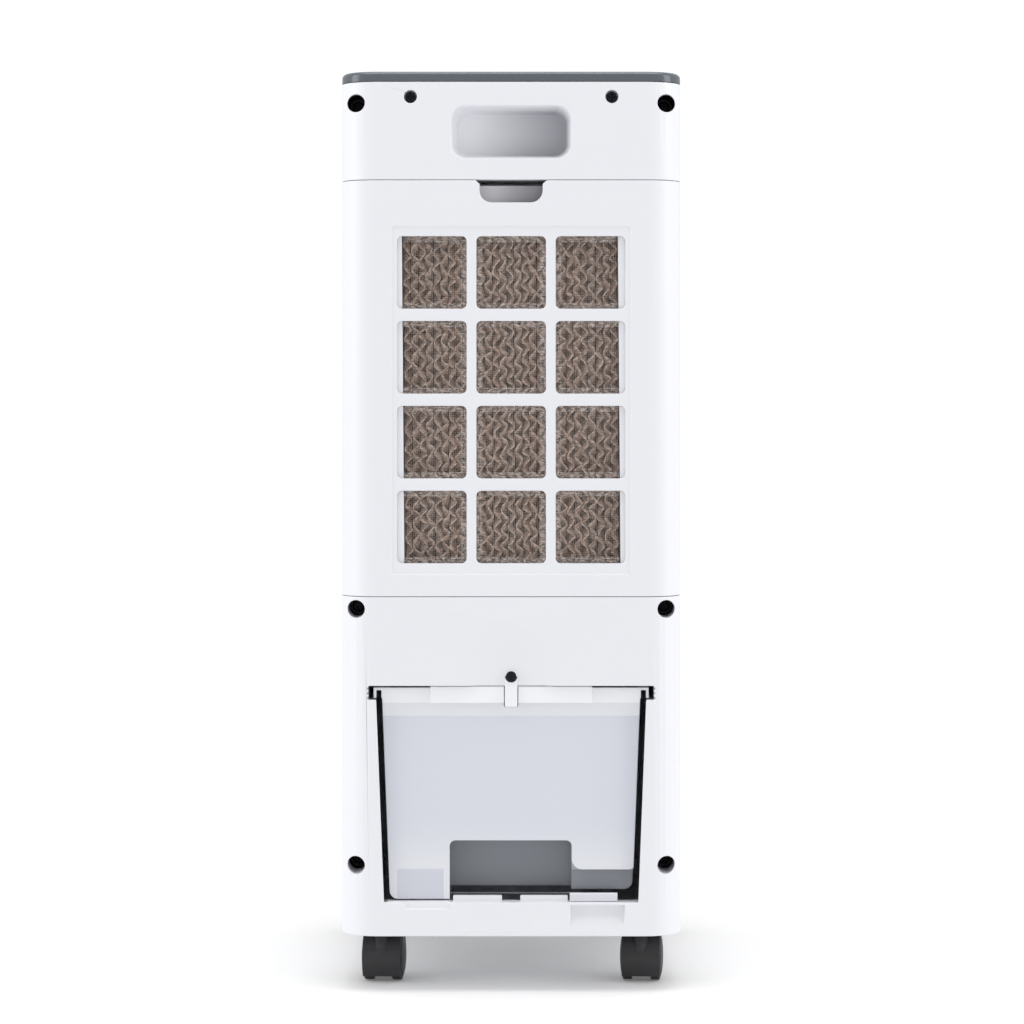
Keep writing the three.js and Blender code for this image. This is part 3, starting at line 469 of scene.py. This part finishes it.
def steel_finish(name, light, dark, roughness, metallic):
    """Coated steel, with a fine wear in its colour and its gloss."""
    finish = Finish(name, Metallic=metallic, Specular_IOR_Level=0.12)
    wear = finish.noise(0.0012, 3)
    finish.feed("Base Color", finish.mix(wear, (*dark, 1), (*light, 1)))
    finish.feed("Roughness", roughness + 0.16 * (wear - 0.5))
    finish.bump(wear, 0.00001)
    return finish.material


def settled(piece):
    """Leaves the piece where it is, with its own origin back at the middle of the floor."""
    only(piece)
    bpy.ops.object.transform_apply(location=True, rotation=True, scale=True)
    return piece


def block(name, low, high):
    """A box from its lowest corner to its highest."""
    size = [b - a for a, b in zip(low, high)]
    centre = [(a + b) / 2 for a, b in zip(low, high)]
    bpy.ops.mesh.primitive_cube_add(size=1, location=centre)
    piece = bpy.context.object
    piece.name = name
    piece.scale = size
    return settled(piece)


def carve(piece, tool):
    """Cuts the tool out of the piece, and throws the tool away."""
    apply_modifier(piece, "BOOLEAN", object=tool, operation="DIFFERENCE")
    bpy.data.objects.remove(tool)


def screw_head(name, x, z, y0, y1, radius):
    """A pan head that faces the rear, from its seat at y0 to its crown at y1."""
    bpy.ops.mesh.primitive_cylinder_add(
        vertices=32,
        radius=radius,
        depth=y1 - y0,
        location=(x, (y0 + y1) / 2, z),
        rotation=(-math.pi / 2, 0, 0),
    )
    head = bpy.context.object
    head.name = name
    settled(head)
    round_edges(head, min(CROWN_ROUND * radius, RIM_ROUND * (y1 - y0)), 3)
    floor = y1 - CROSS_DEPTH * (y1 - y0)
    for long, wide in ((CROSS_LENGTH, CROSS_WIDTH), (CROSS_WIDTH, CROSS_LENGTH)):
        low = (x - long * radius, floor, z - wide * radius)
        high = (x + long * radius, y1 + 0.001, z + wide * radius)
        carve(head, block("cross_tool", low, high))
    smooth(head)
    return head


black_oxide = steel_finish("black_oxide_steel", (0.022, 0.022, 0.026), (0.008, 0.008, 0.01), 0.34, 0)
for side, x in (("left", HANDLE_SCREW_X), ("right", -HANDLE_SCREW_X)):
    head = screw_head(f"handle_screw_{side}_head", x, HANDLE_SCREW_Z, **HANDLE_SCREW)
    fit(head, f"handle_screw_{side}", black_oxide)

deep_head = screw_head("well_screw_1", WELL_X, WELL_HEIGHTS[0], **WELL_SCREW)
deep_head.data.materials.append(black_oxide)
deep_screws = [deep_head]
wells = [(side * WELL_X, level) for level in WELL_HEIGHTS for side in (1, -1)]
for x, level in wells[1:]:
    twin = deep_head.copy()
    twin.data = deep_head.data.copy()
    twin.name = f"well_screw_{len(deep_screws) + 1}"
    bpy.context.scene.collection.objects.link(twin)
    twin.data.transform(Matrix.Translation((x - WELL_X, 0, level - WELL_HEIGHTS[0])))
    deep_screws.append(twin)
for screw in deep_screws:
    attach(screw, "cabinet")

# ---------------------------------------------------------------- front housing and level window
# The front half of the cabinet, in the same ABS, meets the rear half on a straight seam. A clear
# polycarbonate strip low in its face shows the water in the tank.
finished("front_housing", white_abs, 0.0006, 3)


def clear_finish(name, light, dark, roughness, transmission):
    """Clear or smoked plastic with a slight haze."""
    finish = Finish(name, Transmission_Weight=transmission, IOR=1.5)
    haze = finish.noise(0.02, 3)
    finish.feed("Base Color", finish.mix(haze, (*dark, 1), (*light, 1)))
    finish.feed("Roughness", roughness + 0.08 * haze)
    finish.bump(haze, 0.00002)
    return finish.material


window_clear = clear_finish("clear_polycarbonate", (0.88, 0.92, 0.95), (0.78, 0.84, 0.88), 0.06, 0.8)
finished("level_window", window_clear, 0.0004, 2)

# ---------------------------------------------------------------- base plate, cord outlet and ledge
# The ABS floor of the cabinet has four sockets for the casters and four drain slots. The cord
# leaves through a black bushing, and a small cloudy clip on the ledge closes the cord notch.
finished("base_plate", white_abs, 0.0004, 2)
black_pp = moulded("black_polypropylene", (0.03, 0.03, 0.032), (0.02, 0.02, 0.022), 0.5, 0.0006)
finished("cord_bushing", black_pp, 0.0004, 2)
clip_pp = moulded("cloudy_clip", (0.70, 0.71, 0.76), (0.62, 0.63, 0.68), 0.25, Coat_Weight=0.3)
finished("cord_cover", clip_pp, 0.0004, 2)

# ---------------------------------------------------------------- top panel, fascia and buttons
# A slate-grey ABS lid with a rolled edge caps both halves. The control fascia is a glossy black
# acrylic sheet let into it, with five push buttons and a smoked display lens over the board.
SLATE = (0.096, 0.111, 0.132)
SLATE_SHADE = (0.085, 0.099, 0.119)
slate_abs = moulded("slate_abs", SLATE, SLATE_SHADE, 0.2, Specular_IOR_Level=0.6)
LID_LOW = (-0.1213, -0.1398, 0.6469)
LID_HIGH = (0.1213, 0.1398, 0.654)
LID_CORNER = 0.0258
LID_ROLL = 0.0034
LID_ARRIS = 0.0003
LID_WALL = 0.0025
UNDER_LID = (0.6459, 0.6493)
FASCIA_LOW = (-0.084, -0.118, 0.6518)
FASCIA_HIGH = (0.084, -0.060, 0.656)
FASCIA_CORNER = 0.007
LENS_LOW = (-0.038, -0.079, 0.640)
LENS_HIGH = (0.038, -0.071, 0.656)
BUTTONS = 5
BUTTON_Y = -0.100
BUTTON_PITCH = 0.031
BUTTON_RADIUS = 0.007
BUTTON_GAP = 0.0008
BUTTON_TOP = 0.6538
BUTTON_FOOT = 0.6495
BUTTON_XS = [(index - (BUTTONS - 1) / 2) * BUTTON_PITCH for index in range(BUTTONS)]
DISH_STEPS = ((0.0010, 0), (0.0024, -0.0003), (0.0020, -0.0001))
RING = (0.0022, 0.0027)
RING_INK = (0.62, 0.64, 0.67, 1)
TOUCHING = 1e-5


def round_chosen(piece, radius, segments, chosen):
    """Rounds the edges whose two ends pass the test."""
    only(piece)
    bpy.ops.object.mode_set(mode="EDIT")
    bpy.ops.mesh.select_mode(type="EDGE")
    bpy.ops.mesh.select_all(action="DESELECT")
    bpy.ops.object.mode_set(mode="OBJECT")
    points = piece.data.vertices
    for edge in piece.data.edges:
        edge.select = chosen(*(points[end].co for end in edge.vertices))
    bpy.ops.object.mode_set(mode="EDIT")
    bpy.ops.mesh.bevel(offset=radius, segments=segments, affect="EDGES")
    bpy.ops.object.mode_set(mode="OBJECT")


def upright(first, second):
    return abs(first.z - second.z) > 0.0005 and (first.xy - second.xy).length < TOUCHING


def rounded_block(name, low, high, corner, segments=12):
    """A box whose upright edges are round."""
    piece = block(name, low, high)
    round_chosen(piece, corner, segments, upright)
    return piece


lid = rounded_block("lid", LID_LOW, LID_HIGH, LID_CORNER)
round_chosen(lid, LID_ROLL, 6, lambda a, b: min(a.z, b.z) > LID_HIGH[2] - TOUCHING)
round_chosen(lid, LID_ARRIS, 2, lambda a, b: max(a.z, b.z) < LID_LOW[2] + TOUCHING)
under_low = (LID_LOW[0] + LID_WALL, LID_LOW[1] + LID_WALL, UNDER_LID[0])
under_high = (LID_HIGH[0] - LID_WALL, LID_HIGH[1] - LID_WALL, UNDER_LID[1])
carve(lid, rounded_block("under_tool", under_low, under_high, LID_CORNER - LID_WALL))
carve(lid, rounded_block("fascia_tool", FASCIA_LOW, FASCIA_HIGH, FASCIA_CORNER, 6))
carve(lid, block("lens_tool", LENS_LOW, LENS_HIGH))
for x in BUTTON_XS:
    bpy.ops.mesh.primitive_cylinder_add(
        vertices=40, radius=BUTTON_RADIUS + BUTTON_GAP, depth=0.02, location=(x, BUTTON_Y, 0.65)
    )
    carve(lid, settled(bpy.context.object))
smooth(lid)
fit(lid, "top_panel", slate_abs)

acrylic = moulded(
    "black_acrylic", (0.016, 0.016, 0.018), (0.010, 0.010, 0.012), 0.08, 0.02, 0.000004, Coat_Weight=0.6
)
finished("control_fascia", acrylic, 0.0003, 2)
lens_clear = clear_finish("smoked_lens", (0.10, 0.11, 0.12), (0.06, 0.07, 0.08), 0.05, 0.35)
finished("display_lens", lens_clear, 0.0003, 2)


def button_finish(name, x):
    """Slate ABS with a pale printed ring in the middle of the cap."""
    finish = Finish(name, Specular_IOR_Level=0.55)
    where = finish.place(centre=(x, BUTTON_Y, 0))
    flat = finish.node("ShaderNodeVectorMath", {"operation": "MULTIPLY"}, {0: where, 1: (1, 1, 0)})
    reach = finish.node("ShaderNodeVectorMath", {"operation": "LENGTH"}, {0: flat}, "Value")
    ring = (reach > RING[0]) * (reach < RING[1])
    specks = finish.noise(0.0004, 2)
    plain = finish.mix(specks, (*SLATE_SHADE, 1), (*SLATE, 1))
    finish.feed("Base Color", finish.mix(ring, plain, RING_INK))
    finish.feed("Roughness", 0.34 + 0.1 * (specks - 0.5))
    finish.bump(specks, 0.00001)
    return finish.material


def step_end(piece, steps):
    """Insets the upper end ring by ring, with the thickness and the rise of each ring."""
    pick(piece, lambda face: face.normal.z > 0.9)
    for thickness, rise in steps:
        bpy.ops.mesh.inset(thickness=thickness, depth=rise)
    bpy.ops.object.mode_set(mode="OBJECT")


for number, x in enumerate(BUTTON_XS, 1):
    bpy.ops.mesh.primitive_cylinder_add(
        vertices=40,
        radius=BUTTON_RADIUS,
        depth=BUTTON_TOP - BUTTON_FOOT,
        location=(x, BUTTON_Y, (BUTTON_TOP + BUTTON_FOOT) / 2),
    )
    cap = bpy.context.object
    cap.name = f"button_{number}_cap"
    settled(cap)
    step_end(cap, DISH_STEPS)
    round_edges(cap, 0.0004, 3)
    smooth(cap)
    fit(cap, f"button_{number}", button_finish(f"button_{number}_abs", x))

board_green = moulded(
    "solder_masked_board", (0.03, 0.12, 0.04), (0.015, 0.07, 0.022), 0.35, 0.001, 0.00003, Coat_Weight=0.3
)
finished("control_board", board_green, 0.0002, 1)

# ---------------------------------------------------------------- outlet, louvres and vanes
# The slate duct frame carries five flat louvres on pins, tied by a dark nylon link, and behind
# them five upright vanes that a small geared motor swings from below.
duct_abs = moulded("slate_duct_abs", SLATE, SLATE_SHADE, 0.36, Specular_IOR_Level=0.5)
finished("outlet_frame", duct_abs, 0.0004, 2)
for number in range(1, 6):
    finished(f"louvre_{number}", duct_abs, 0.00025, 2)
dark_nylon = moulded("dark_nylon", (0.060, 0.060, 0.063), (0.045, 0.045, 0.048), 0.46, 0.0005, 0.00002)
for number in range(1, 6):
    finished(f"vane_{number}", dark_nylon, 0.00025, 2)
finished("louvre_link", dark_nylon, 0.0003, 2)
finished("vane_link", dark_nylon, 0.0003, 2)
zinc = steel_finish("zinc_plated_steel", (0.62, 0.63, 0.66), (0.46, 0.47, 0.50), 0.32, 0.9)
finished("swing_motor", zinc, 0.0008, 2)

# ---------------------------------------------------------------- cross-flow fan
# A drum of twenty curved nylon blades between three discs, turned by a shaded-pole motor on one
# side and held by a sintered bearing on the other, in a white scroll casing.
finished("fan_wheel", dark_nylon, 0)
finished("fan_casing", white_abs, 0.0004, 2)
finished("fan_motor", zinc, 0.0012, 3)
finished("fan_bearing", black_pp, 0.0003, 2)

# ---------------------------------------------------------------- filter cover
# A white ABS grille wraps round the rear of the cabinet and clips in at the top, where the back
# wall of a thumb notch is painted in shade, darker to the right. Its twelve windows have
# moulded-in rounded corners.
NOTCH_HALF = 0.0272
NOTCH_MIDDLE = 0.5662
NOTCH_REACH = 0.0112
NOTCH_WALL_Y = 0.1372
NOTCH_LEFT_TO_RIGHT = (0.024, -0.018)
NOTCH_PAINTED_SHADE = (0.70, 0.69, 0.72)
NOTCH_PAINTED_SHADOW = (0.33, 0.32, 0.34)


def notch_shade(finish):
    # Painted shade on the back wall of the thumb notch, darker to the right.
    across = finish.along("X")
    inside = (abs(across) < NOTCH_HALF) * (abs(finish.along("Z") - NOTCH_MIDDLE) < NOTCH_REACH)
    behind = inside * (finish.along("Y") < NOTCH_WALL_Y)
    right = finish.band(across, *NOTCH_LEFT_TO_RIGHT)
    return [(behind, NOTCH_PAINTED_SHADE), (behind * right, NOTCH_PAINTED_SHADOW)]


cover_abs = moulded("filter_cover_abs", WHITE, WHITE_SHADE, 0.42, shade=notch_shade, Specular_IOR_Level=0.4)
finished("filter_cover", cover_abs, 0.0005, 3)

# ---------------------------------------------------------------- dust net
# A fine pale nylon net, woven from single threads and welded to a narrow border, lies behind the
# windows of the cover and keeps the dust off the pad.
NET_HALF = 0.083
NET_Z = (0.299, 0.543)
NET_Y = 0.130
BORDER_Y = (0.1292, 0.1308)
BORDER_TOOL_Y = (0.128, 0.132)
NET_BORDER = 0.0025
NET_PITCH = 0.0015
THREAD = 0.00016
THREAD_LAP = 0.001


def threads(name, low, high, step, length):
    """Parallel threads: the first fills low to high, and the rest follow it over the length."""
    thread = block(name, low, high)
    apply_modifier(
        thread,
        "ARRAY",
        count=int(length / NET_PITCH) + 1,
        use_relative_offset=False,
        use_constant_offset=True,
        constant_offset_displace=[NET_PITCH * part for part in step],
    )
    return thread


border = block("dust_net_threads", (-NET_HALF, BORDER_Y[0], NET_Z[0]), (NET_HALF, BORDER_Y[1], NET_Z[1]))
inner_low = (-NET_HALF + NET_BORDER, BORDER_TOOL_Y[0], NET_Z[0] + NET_BORDER)
inner_high = (NET_HALF - NET_BORDER, BORDER_TOOL_Y[1], NET_Z[1] - NET_BORDER)
carve(border, block("net_tool", inner_low, inner_high))
upright_low = (-NET_HALF + NET_BORDER, NET_Y, NET_Z[0] + THREAD_LAP)
upright_high = (-NET_HALF + NET_BORDER + THREAD, NET_Y + THREAD, NET_Z[1] - THREAD_LAP)
uprights = threads("net_uprights", upright_low, upright_high, (1, 0, 0), 2 * (NET_HALF - NET_BORDER))
level_low = (-NET_HALF + THREAD_LAP, NET_Y - 0.8 * THREAD, NET_Z[0] + NET_BORDER)
level_high = (NET_HALF - THREAD_LAP, NET_Y + 0.2 * THREAD, NET_Z[0] + NET_BORDER + THREAD)
levels = threads("net_levels", level_low, level_high, (0, 0, 1), NET_Z[1] - NET_Z[0] - 2 * NET_BORDER)
only(border)
uprights.select_set(True)
levels.select_set(True)
bpy.ops.object.join()
net_nylon = moulded(
    "woven_nylon", (0.80, 0.72, 0.67), (0.60, 0.52, 0.47), 0.35, 0.0009, 0.00001, Alpha=0.4
)
fit(border, "dust_net", net_nylon)

# ---------------------------------------------------------------- painted glint film and edge tapes of the net
# A thin film round every window dulls the net, and its pale upright streaks are painted glints.
# The net's two upright sides are bound in white tape, which stands a little out of true.
FILM_Y = (0.1364, 0.1367)
FILM_TOOL_Y = (0.135, 0.138)
FILM_LAP = 0.0042
GLINT_STREAK_SIZE = 0.0035
FILM_DULL = (0.50, 0.43, 0.40, 1)
FILM_PAINTED_GLINT = (0.86, 0.80, 0.78, 1)
WINDOW_HALF = (0.0247, 0.02575)
WINDOW_PITCH = (0.0563, 0.06025)
FIRST_WINDOW_Z = 0.33045
TAPE_X = (0.0768, 0.0819)
TAPE_Y = (0.1360, 0.1366)
TAPE_TURN = math.radians(0.45)
BAY_MIDDLE_Z = 0.421

film = block("dust_net_glint_film", (-TAPE_X[0], FILM_Y[0], NET_Z[0]), (TAPE_X[0], FILM_Y[1], NET_Z[1]))
open_half = [half - FILM_LAP for half in WINDOW_HALF]
for column in (-1, 0, 1):
    for row in range(4):
        x = column * WINDOW_PITCH[0]
        z = FIRST_WINDOW_Z + row * WINDOW_PITCH[1]
        low = [x - open_half[0], FILM_TOOL_Y[0], z - open_half[1]]
        high = [x + open_half[0], FILM_TOOL_Y[1], z + open_half[1]]
        if column < 0:
            low[0] = -NET_HALF
        if column > 0:
            high[0] = NET_HALF
        carve(film, block("film_window_tool", low, high))


def film_finish():
    # Pale upright streaks, painted glints, over a dull tint.
    finish = Finish("net_film_with_painted_glints", Alpha=1, Roughness=0.3)
    glint_noise = finish.noise(GLINT_STREAK_SIZE, 3, (1, 1, 0.3))
    streaks = finish.band(glint_noise, 0.42, 0.68)
    finish.feed("Base Color", finish.mix(streaks, FILM_DULL, FILM_PAINTED_GLINT))
    finish.feed("Alpha", 0.05 + 0.24 * streaks)
    return finish.material


smooth(film)
film.data.materials.append(film_finish())
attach(film, "filter_cover")


def turn_in_bay(piece, angle):
    """Turns the piece out of true, about the middle of the bay."""
    up = Matrix.Translation((0, 0, BAY_MIDDLE_Z))
    down = Matrix.Translation((0, 0, -BAY_MIDDLE_Z))
    piece.data.transform(up @ Matrix.Rotation(angle, 4, "Y") @ down)


edge_tape = moulded("white_edge_tape", (0.83, 0.84, 0.87), (0.80, 0.81, 0.84), 0.5)
for side, name in ((1, "dust_net_tape_left"), (-1, "dust_net_tape_right")):
    low_x, high_x = sorted(side * x for x in TAPE_X)
    tape_low = (low_x, TAPE_Y[0], NET_Z[0] + THREAD_LAP)
    tape_high = (high_x, TAPE_Y[1], NET_Z[1] - THREAD_LAP)
    tape = block(name, tape_low, tape_high)
    turn_in_bay(tape, TAPE_TURN)
    round_edges(tape, 0.0002, 2)
    smooth(tape)
    tape.data.materials.append(edge_tape)
    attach(tape, "filter_cover")

# ---------------------------------------------------------------- cooling pad
# Upright sheets of resin-soaked brown paper, each pressed into slanting flutes and glued crest to
# crest to the next, whose flutes slant the other way, so that the water and the air cross.
PAD_HALF = 0.0774
PAD_Y = (0.0995, 0.1264)
PAD_Z = (0.3038, 0.5382)
SHEETS = 29
CREST = 0.00285
GLUED_CREST = 0.9
FLUTE = 0.0131
PAPER = 0.0008
ROWS = 150
LAYERS = 9
SLANT = 0.9
DRIFT = 0.0012
DRIFT_TURNS = 150
SKEW = 0.16
FRAY = 0.0003
FRAY_TURNS = 900
FRAYED_FROM = 0.45
PAD_TURN = math.radians(0.4)
PAD_EDGE = math.radians(50)
FIBRE = 0.0022
PAINTED_SHADE_INNER_PAPER = ((0.23, 0.165, 0.135, 1), (0.46, 0.34, 0.29, 1))
PAINTED_LIGHT_OUTER_PAPER = ((0.45, 0.335, 0.275, 1), (0.82, 0.65, 0.56, 1))
PAINTED_LIGHT_CUT_PAPER = ((0.42, 0.31, 0.25, 1), (0.80, 0.66, 0.58, 1))
WET_PAPER = (0.24, 0.165, 0.13, 1)
OUTER_DEPTHS = (0.1135, 0.1245)
CUT_DEPTHS = (0.1259, 0.1263)

wobble = random.Random(11)
sheets = []
for index in range(SHEETS):
    bpy.ops.mesh.primitive_grid_add(x_subdivisions=LAYERS, y_subdivisions=ROWS, size=1)
    sheet = bpy.context.object
    sheet.name = f"pad_sheet_{index + 1}"
    middle = (index / (SHEETS - 1) - 0.5) * 2 * (PAD_HALF - CREST - PAPER)
    phase = wobble.uniform(0, 2 * math.pi)
    drift = [wobble.uniform(0.0, 2 * math.pi) for _ in range(3)]
    slant = SLANT if index % 2 else -SLANT
    for point in sheet.data.vertices:
        depth = PAD_Y[0] + (point.co.x + 0.5) * (PAD_Y[1] - PAD_Y[0])
        height = PAD_Z[0] + (point.co.y + 0.5) * (PAD_Z[1] - PAD_Z[0])
        along = height + slant * (PAD_Y[1] - depth) + DRIFT * math.sin(DRIFT_TURNS * height + drift[0])
        turn = 2 * math.pi * along / FLUTE + phase
        wave = math.sin(turn) + SKEW * math.sin(2 * turn + drift[1])
        frayed = FRAY * math.sin(FRAY_TURNS * height + drift[2]) if point.co.x > FRAYED_FROM else 0
        point.co = (middle + GLUED_CREST * CREST * wave + frayed, depth, height)
    sheets.append(sheet)
pad = sheets[0]
only(pad)
for sheet in sheets[1:]:
    sheet.select_set(True)
bpy.ops.object.join()
pad.name = "corrugated_pad"
apply_modifier(pad, "SOLIDIFY", thickness=PAPER, offset=0)
turn_in_bay(pad, PAD_TURN)
only(pad)
bpy.ops.object.shade_smooth_by_angle(angle=PAD_EDGE)


def paper_finish():
    """Brown paper with long fibres and wet patches, darker deep in the block as painted shade, and
    paler towards its cut edges as painted light.
    """
    finish = Finish("kraft_pad_paper", Specular_IOR_Level=0.15)
    fibres = finish.band(finish.noise(FIBRE, 5, (2.5, 1, 0.6)), 0.38, 0.62)
    patches = finish.noise(0.018, 3)
    depth = finish.along("Y")
    inner, outer, cut = [finish.mix(fibres, *tones) for tones in (PAINTED_SHADE_INNER_PAPER, PAINTED_LIGHT_OUTER_PAPER, PAINTED_LIGHT_CUT_PAPER)]
    colour = finish.mix(finish.band(depth, *OUTER_DEPTHS), inner, outer)
    colour = finish.mix(finish.band(depth, *CUT_DEPTHS), colour, cut)
    finish.feed("Base Color", finish.mix(0.3 * patches, colour, WET_PAPER))
    finish.feed("Roughness", 0.85 + 0.1 * fibres)
    finish.bump(fibres, 0.0004)
    return finish.material


fit(pad, "cooling_pad", paper_finish())

# ---------------------------------------------------------------- pad carrier, trough and divider
# Three white ABS mouldings: a tray holds the block of paper, a shallow trough with seven drip
# holes over it spreads the pumped water, and a divider parts the fan side from the tank.
finished("pad_carrier", white_abs, 0.0004, 2)
finished("water_distributor", white_abs, 0.0004, 2)
finished("divider_tray", white_abs, 0.0004, 2)

# ---------------------------------------------------------------- water tank
# A deep drawer of cloudy polypropylene on two rim rails. The wall is a little darker towards
# its edges, with a painted shadow where the pump stands behind it, and the hand grip under it
# and the rounded corners over its step are painted in shade.
CLOUD = (0.655, 0.675, 0.74)
CLOUD_SHADE = (0.635, 0.655, 0.72)
CLOUD_LOW = (0.72, 0.735, 0.775)
CLOUD_RIM = (0.56, 0.58, 0.645)
PUMP_PAINTED_SHADOW = (0.565, 0.58, 0.65)
CLOUD_UNDER_LIP = (0.74, 0.755, 0.795)
BRIGHT_LIP = (0.87, 0.88, 0.905)
PAINTED_GREY_SHADE = (0.262, 0.278, 0.310)
LIP_Z = 0.2053
UNDER_LIP_Z = (0.1955, 0.1965)
LOW_Z = (0.125, 0.082)
RIM_X = (0.074, 0.092)
REAR_WALL_Y = 0.12
GRIP_Z = 0.1085
GRIP_Y = (0.1, 0.1332)
PUMP_X = 0.0645
PUMP_HALF = 0.0165
PUMP_Z = (0.088, 0.086)
STEP_Z = 0.0866
STEP_CORNERS = ((-0.0430, -1, 0.008), (-0.0877, 1, 0.0042))
CORNER_EDGE = 0.0001


def painted_corner_shade(finish, x, side, radius):
    """The part of the wall that lies outside the round of a corner over the step, which is painted in
    shade.
    """
    across = (finish.along("X") - x) * side - radius
    height = finish.along("Z") - STEP_Z - radius
    reach = (across * across + height * height) ** 0.5
    outside = finish.band(reach, radius - CORNER_EDGE, radius + CORNER_EDGE)
    return (across < 0) * (height < 0) * (height > -radius) * (across > -radius - 0.001) * outside


def tank_shade(finish):
    across = finish.along("X")
    depth = finish.along("Y")
    height = finish.along("Z")
    rear = depth > REAR_WALL_Y
    grip = (height < GRIP_Z) * (depth < GRIP_Y[1]) * (depth > GRIP_Y[0])
    pump = (abs(across - PUMP_X) < PUMP_HALF) * finish.band(height, *PUMP_Z)
    # The grip and the corners over the step are painted shade, and the pump's place a painted shadow.
    return [
        (finish.band(height, *LOW_Z), CLOUD_LOW),
        (0.5 * finish.band(abs(across), *RIM_X), CLOUD_RIM),
        (0.85 * pump, PUMP_PAINTED_SHADOW),
        (finish.band(height, *UNDER_LIP_Z) * rear, CLOUD_UNDER_LIP),
        ((height > LIP_Z) * rear, BRIGHT_LIP),
        (grip, PAINTED_GREY_SHADE),
        *[(0.9 * painted_corner_shade(finish, *corner) * rear, PAINTED_GREY_SHADE) for corner in STEP_CORNERS],
    ]


tank_pp = moulded(
    "cloudy_polypropylene", CLOUD, CLOUD_SHADE, 0.3, 0.0015, 0.00002, shade=tank_shade, Coat_Weight=0.15
)
finished("water_tank", tank_pp, 0.0006, 3, whole=lambda face: face.normal.y > 0.99)

# ---------------------------------------------------------------- tank latch
# A white ABS strip turns on a black cross-head screw in a shallow round scoop, and its lower end
# drops over the lip of the tank.
LATCH_HALF = 0.00435
LATCH_Y = (0.1372, 0.1386)
LATCH_Z = (0.2028, 0.2244)
LATCH_SCREW = {"y0": 0.1389, "y1": 0.1399, "radius": 0.00375}
latch_abs = moulded("latch_abs", (0.86, 0.87, 0.89), (0.84, 0.85, 0.87), 0.35, Specular_IOR_Level=0.5)
strip = block("latch_strip", (-LATCH_HALF, LATCH_Y[0], LATCH_Z[0]), (LATCH_HALF, LATCH_Y[1], LATCH_Z[1]))
bpy.ops.mesh.primitive_cylinder_add(
    vertices=48,
    radius=LATCH_HALF,
    depth=LATCH_Y[1] - LATCH_Y[0],
    location=(0, sum(LATCH_Y) / 2, LATCH_Z[1]),
    rotation=(math.pi / 2, 0, 0),
)
eye = settled(bpy.context.object)
apply_modifier(strip, "BOOLEAN", object=eye, operation="UNION")
bpy.data.objects.remove(eye)
round_edges(strip, 0.0004, 3)
smooth(strip)
fit(strip, "tank_latch", latch_abs)
latch_head = screw_head("latch_screw_head", 0, LATCH_Z[1], **LATCH_SCREW)
fit(latch_head, "latch_screw", black_oxide)

# ---------------------------------------------------------------- pump and hose
# A small black submersible pump stands in the tank on a bracket from the divider, and pushes
# water up a cloudy silicone hose beside the pad.
finished("pump", black_pp, 0.0008, 2)
silicone = moulded("cloudy_silicone", (0.66, 0.65, 0.60), (0.56, 0.55, 0.50), 0.4, 0.003, 0.00002)
finished("pump_hose", silicone, 0)

# ---------------------------------------------------------------- casters
# Twin-wheel furniture casters in dark nylon: a round hood on a steel stem, and a wheel with a
# domed cap on each side of its web.
WHEEL_RADIUS = 0.0175
WHEEL_WIDTH = 0.0062
CAP_STEPS = (
    (0.0022, 0.0006),
    (0.0004, -0.0007),
    (0.0004, 0.0010),
    (0.0030, 0.0008),
    (0.0045, 0.0005),
    (0.0040, 0.0002),
)
CAP_EDGE = math.radians(40)
HOOD_SHADE_Z = (0.026, 0.036)
JOINTS = {joint["name"]: joint for joint in frame["record"]["behaviour"]["joints"]}


def hood_shade(finish):
    """The top of a hood, close under the base where little light reaches, is painted in shade."""
    return [(0.85 * finish.band(finish.along("Z"), *HOOD_SHADE_Z), PAINTED_SHADE_BLACK)]


hood_nylon = moulded(
    "hood_nylon",
    (0.040, 0.040, 0.042),
    (0.030, 0.030, 0.032),
    0.4,
    0.0005,
    0.00002,
    shade=hood_shade,
    Specular_IOR_Level=0.25,
)
tread_nylon = moulded(
    "tread_nylon",
    (0.020, 0.020, 0.022),
    (0.014, 0.014, 0.016),
    0.45,
    0.0006,
    0.00003,
    Specular_IOR_Level=0.2,
)


def wheel(node, outward):
    """A tread with a stepped cap on one end, which faces outward along the wheel's own axle."""
    joint = JOINTS[f"{node}_roll"]
    bpy.ops.mesh.primitive_cylinder_add(vertices=48, radius=WHEEL_RADIUS, depth=WHEEL_WIDTH)
    piece = bpy.context.object
    piece.name = f"{node}_tread"
    step_end(piece, CAP_STEPS)
    round_edges(piece, 0.0004, 2, CAP_EDGE)
    direction = outward * Vector(joint["axis"])
    turned = Vector((0, 0, 1)).rotation_difference(direction).to_matrix().to_4x4()
    piece.data.transform(Matrix.Translation(joint["pos_m"]) @ turned)
    smooth(piece)
    fit(piece, node, tread_nylon)


for place in ("rear_left", "rear_right", "front_left", "front_right"):
    finished(f"caster_hood_{place}", hood_nylon, 0.0005, 3)
    wheel(f"wheel_{place}_a", 1)
    wheel(f"wheel_{place}_b", -1)
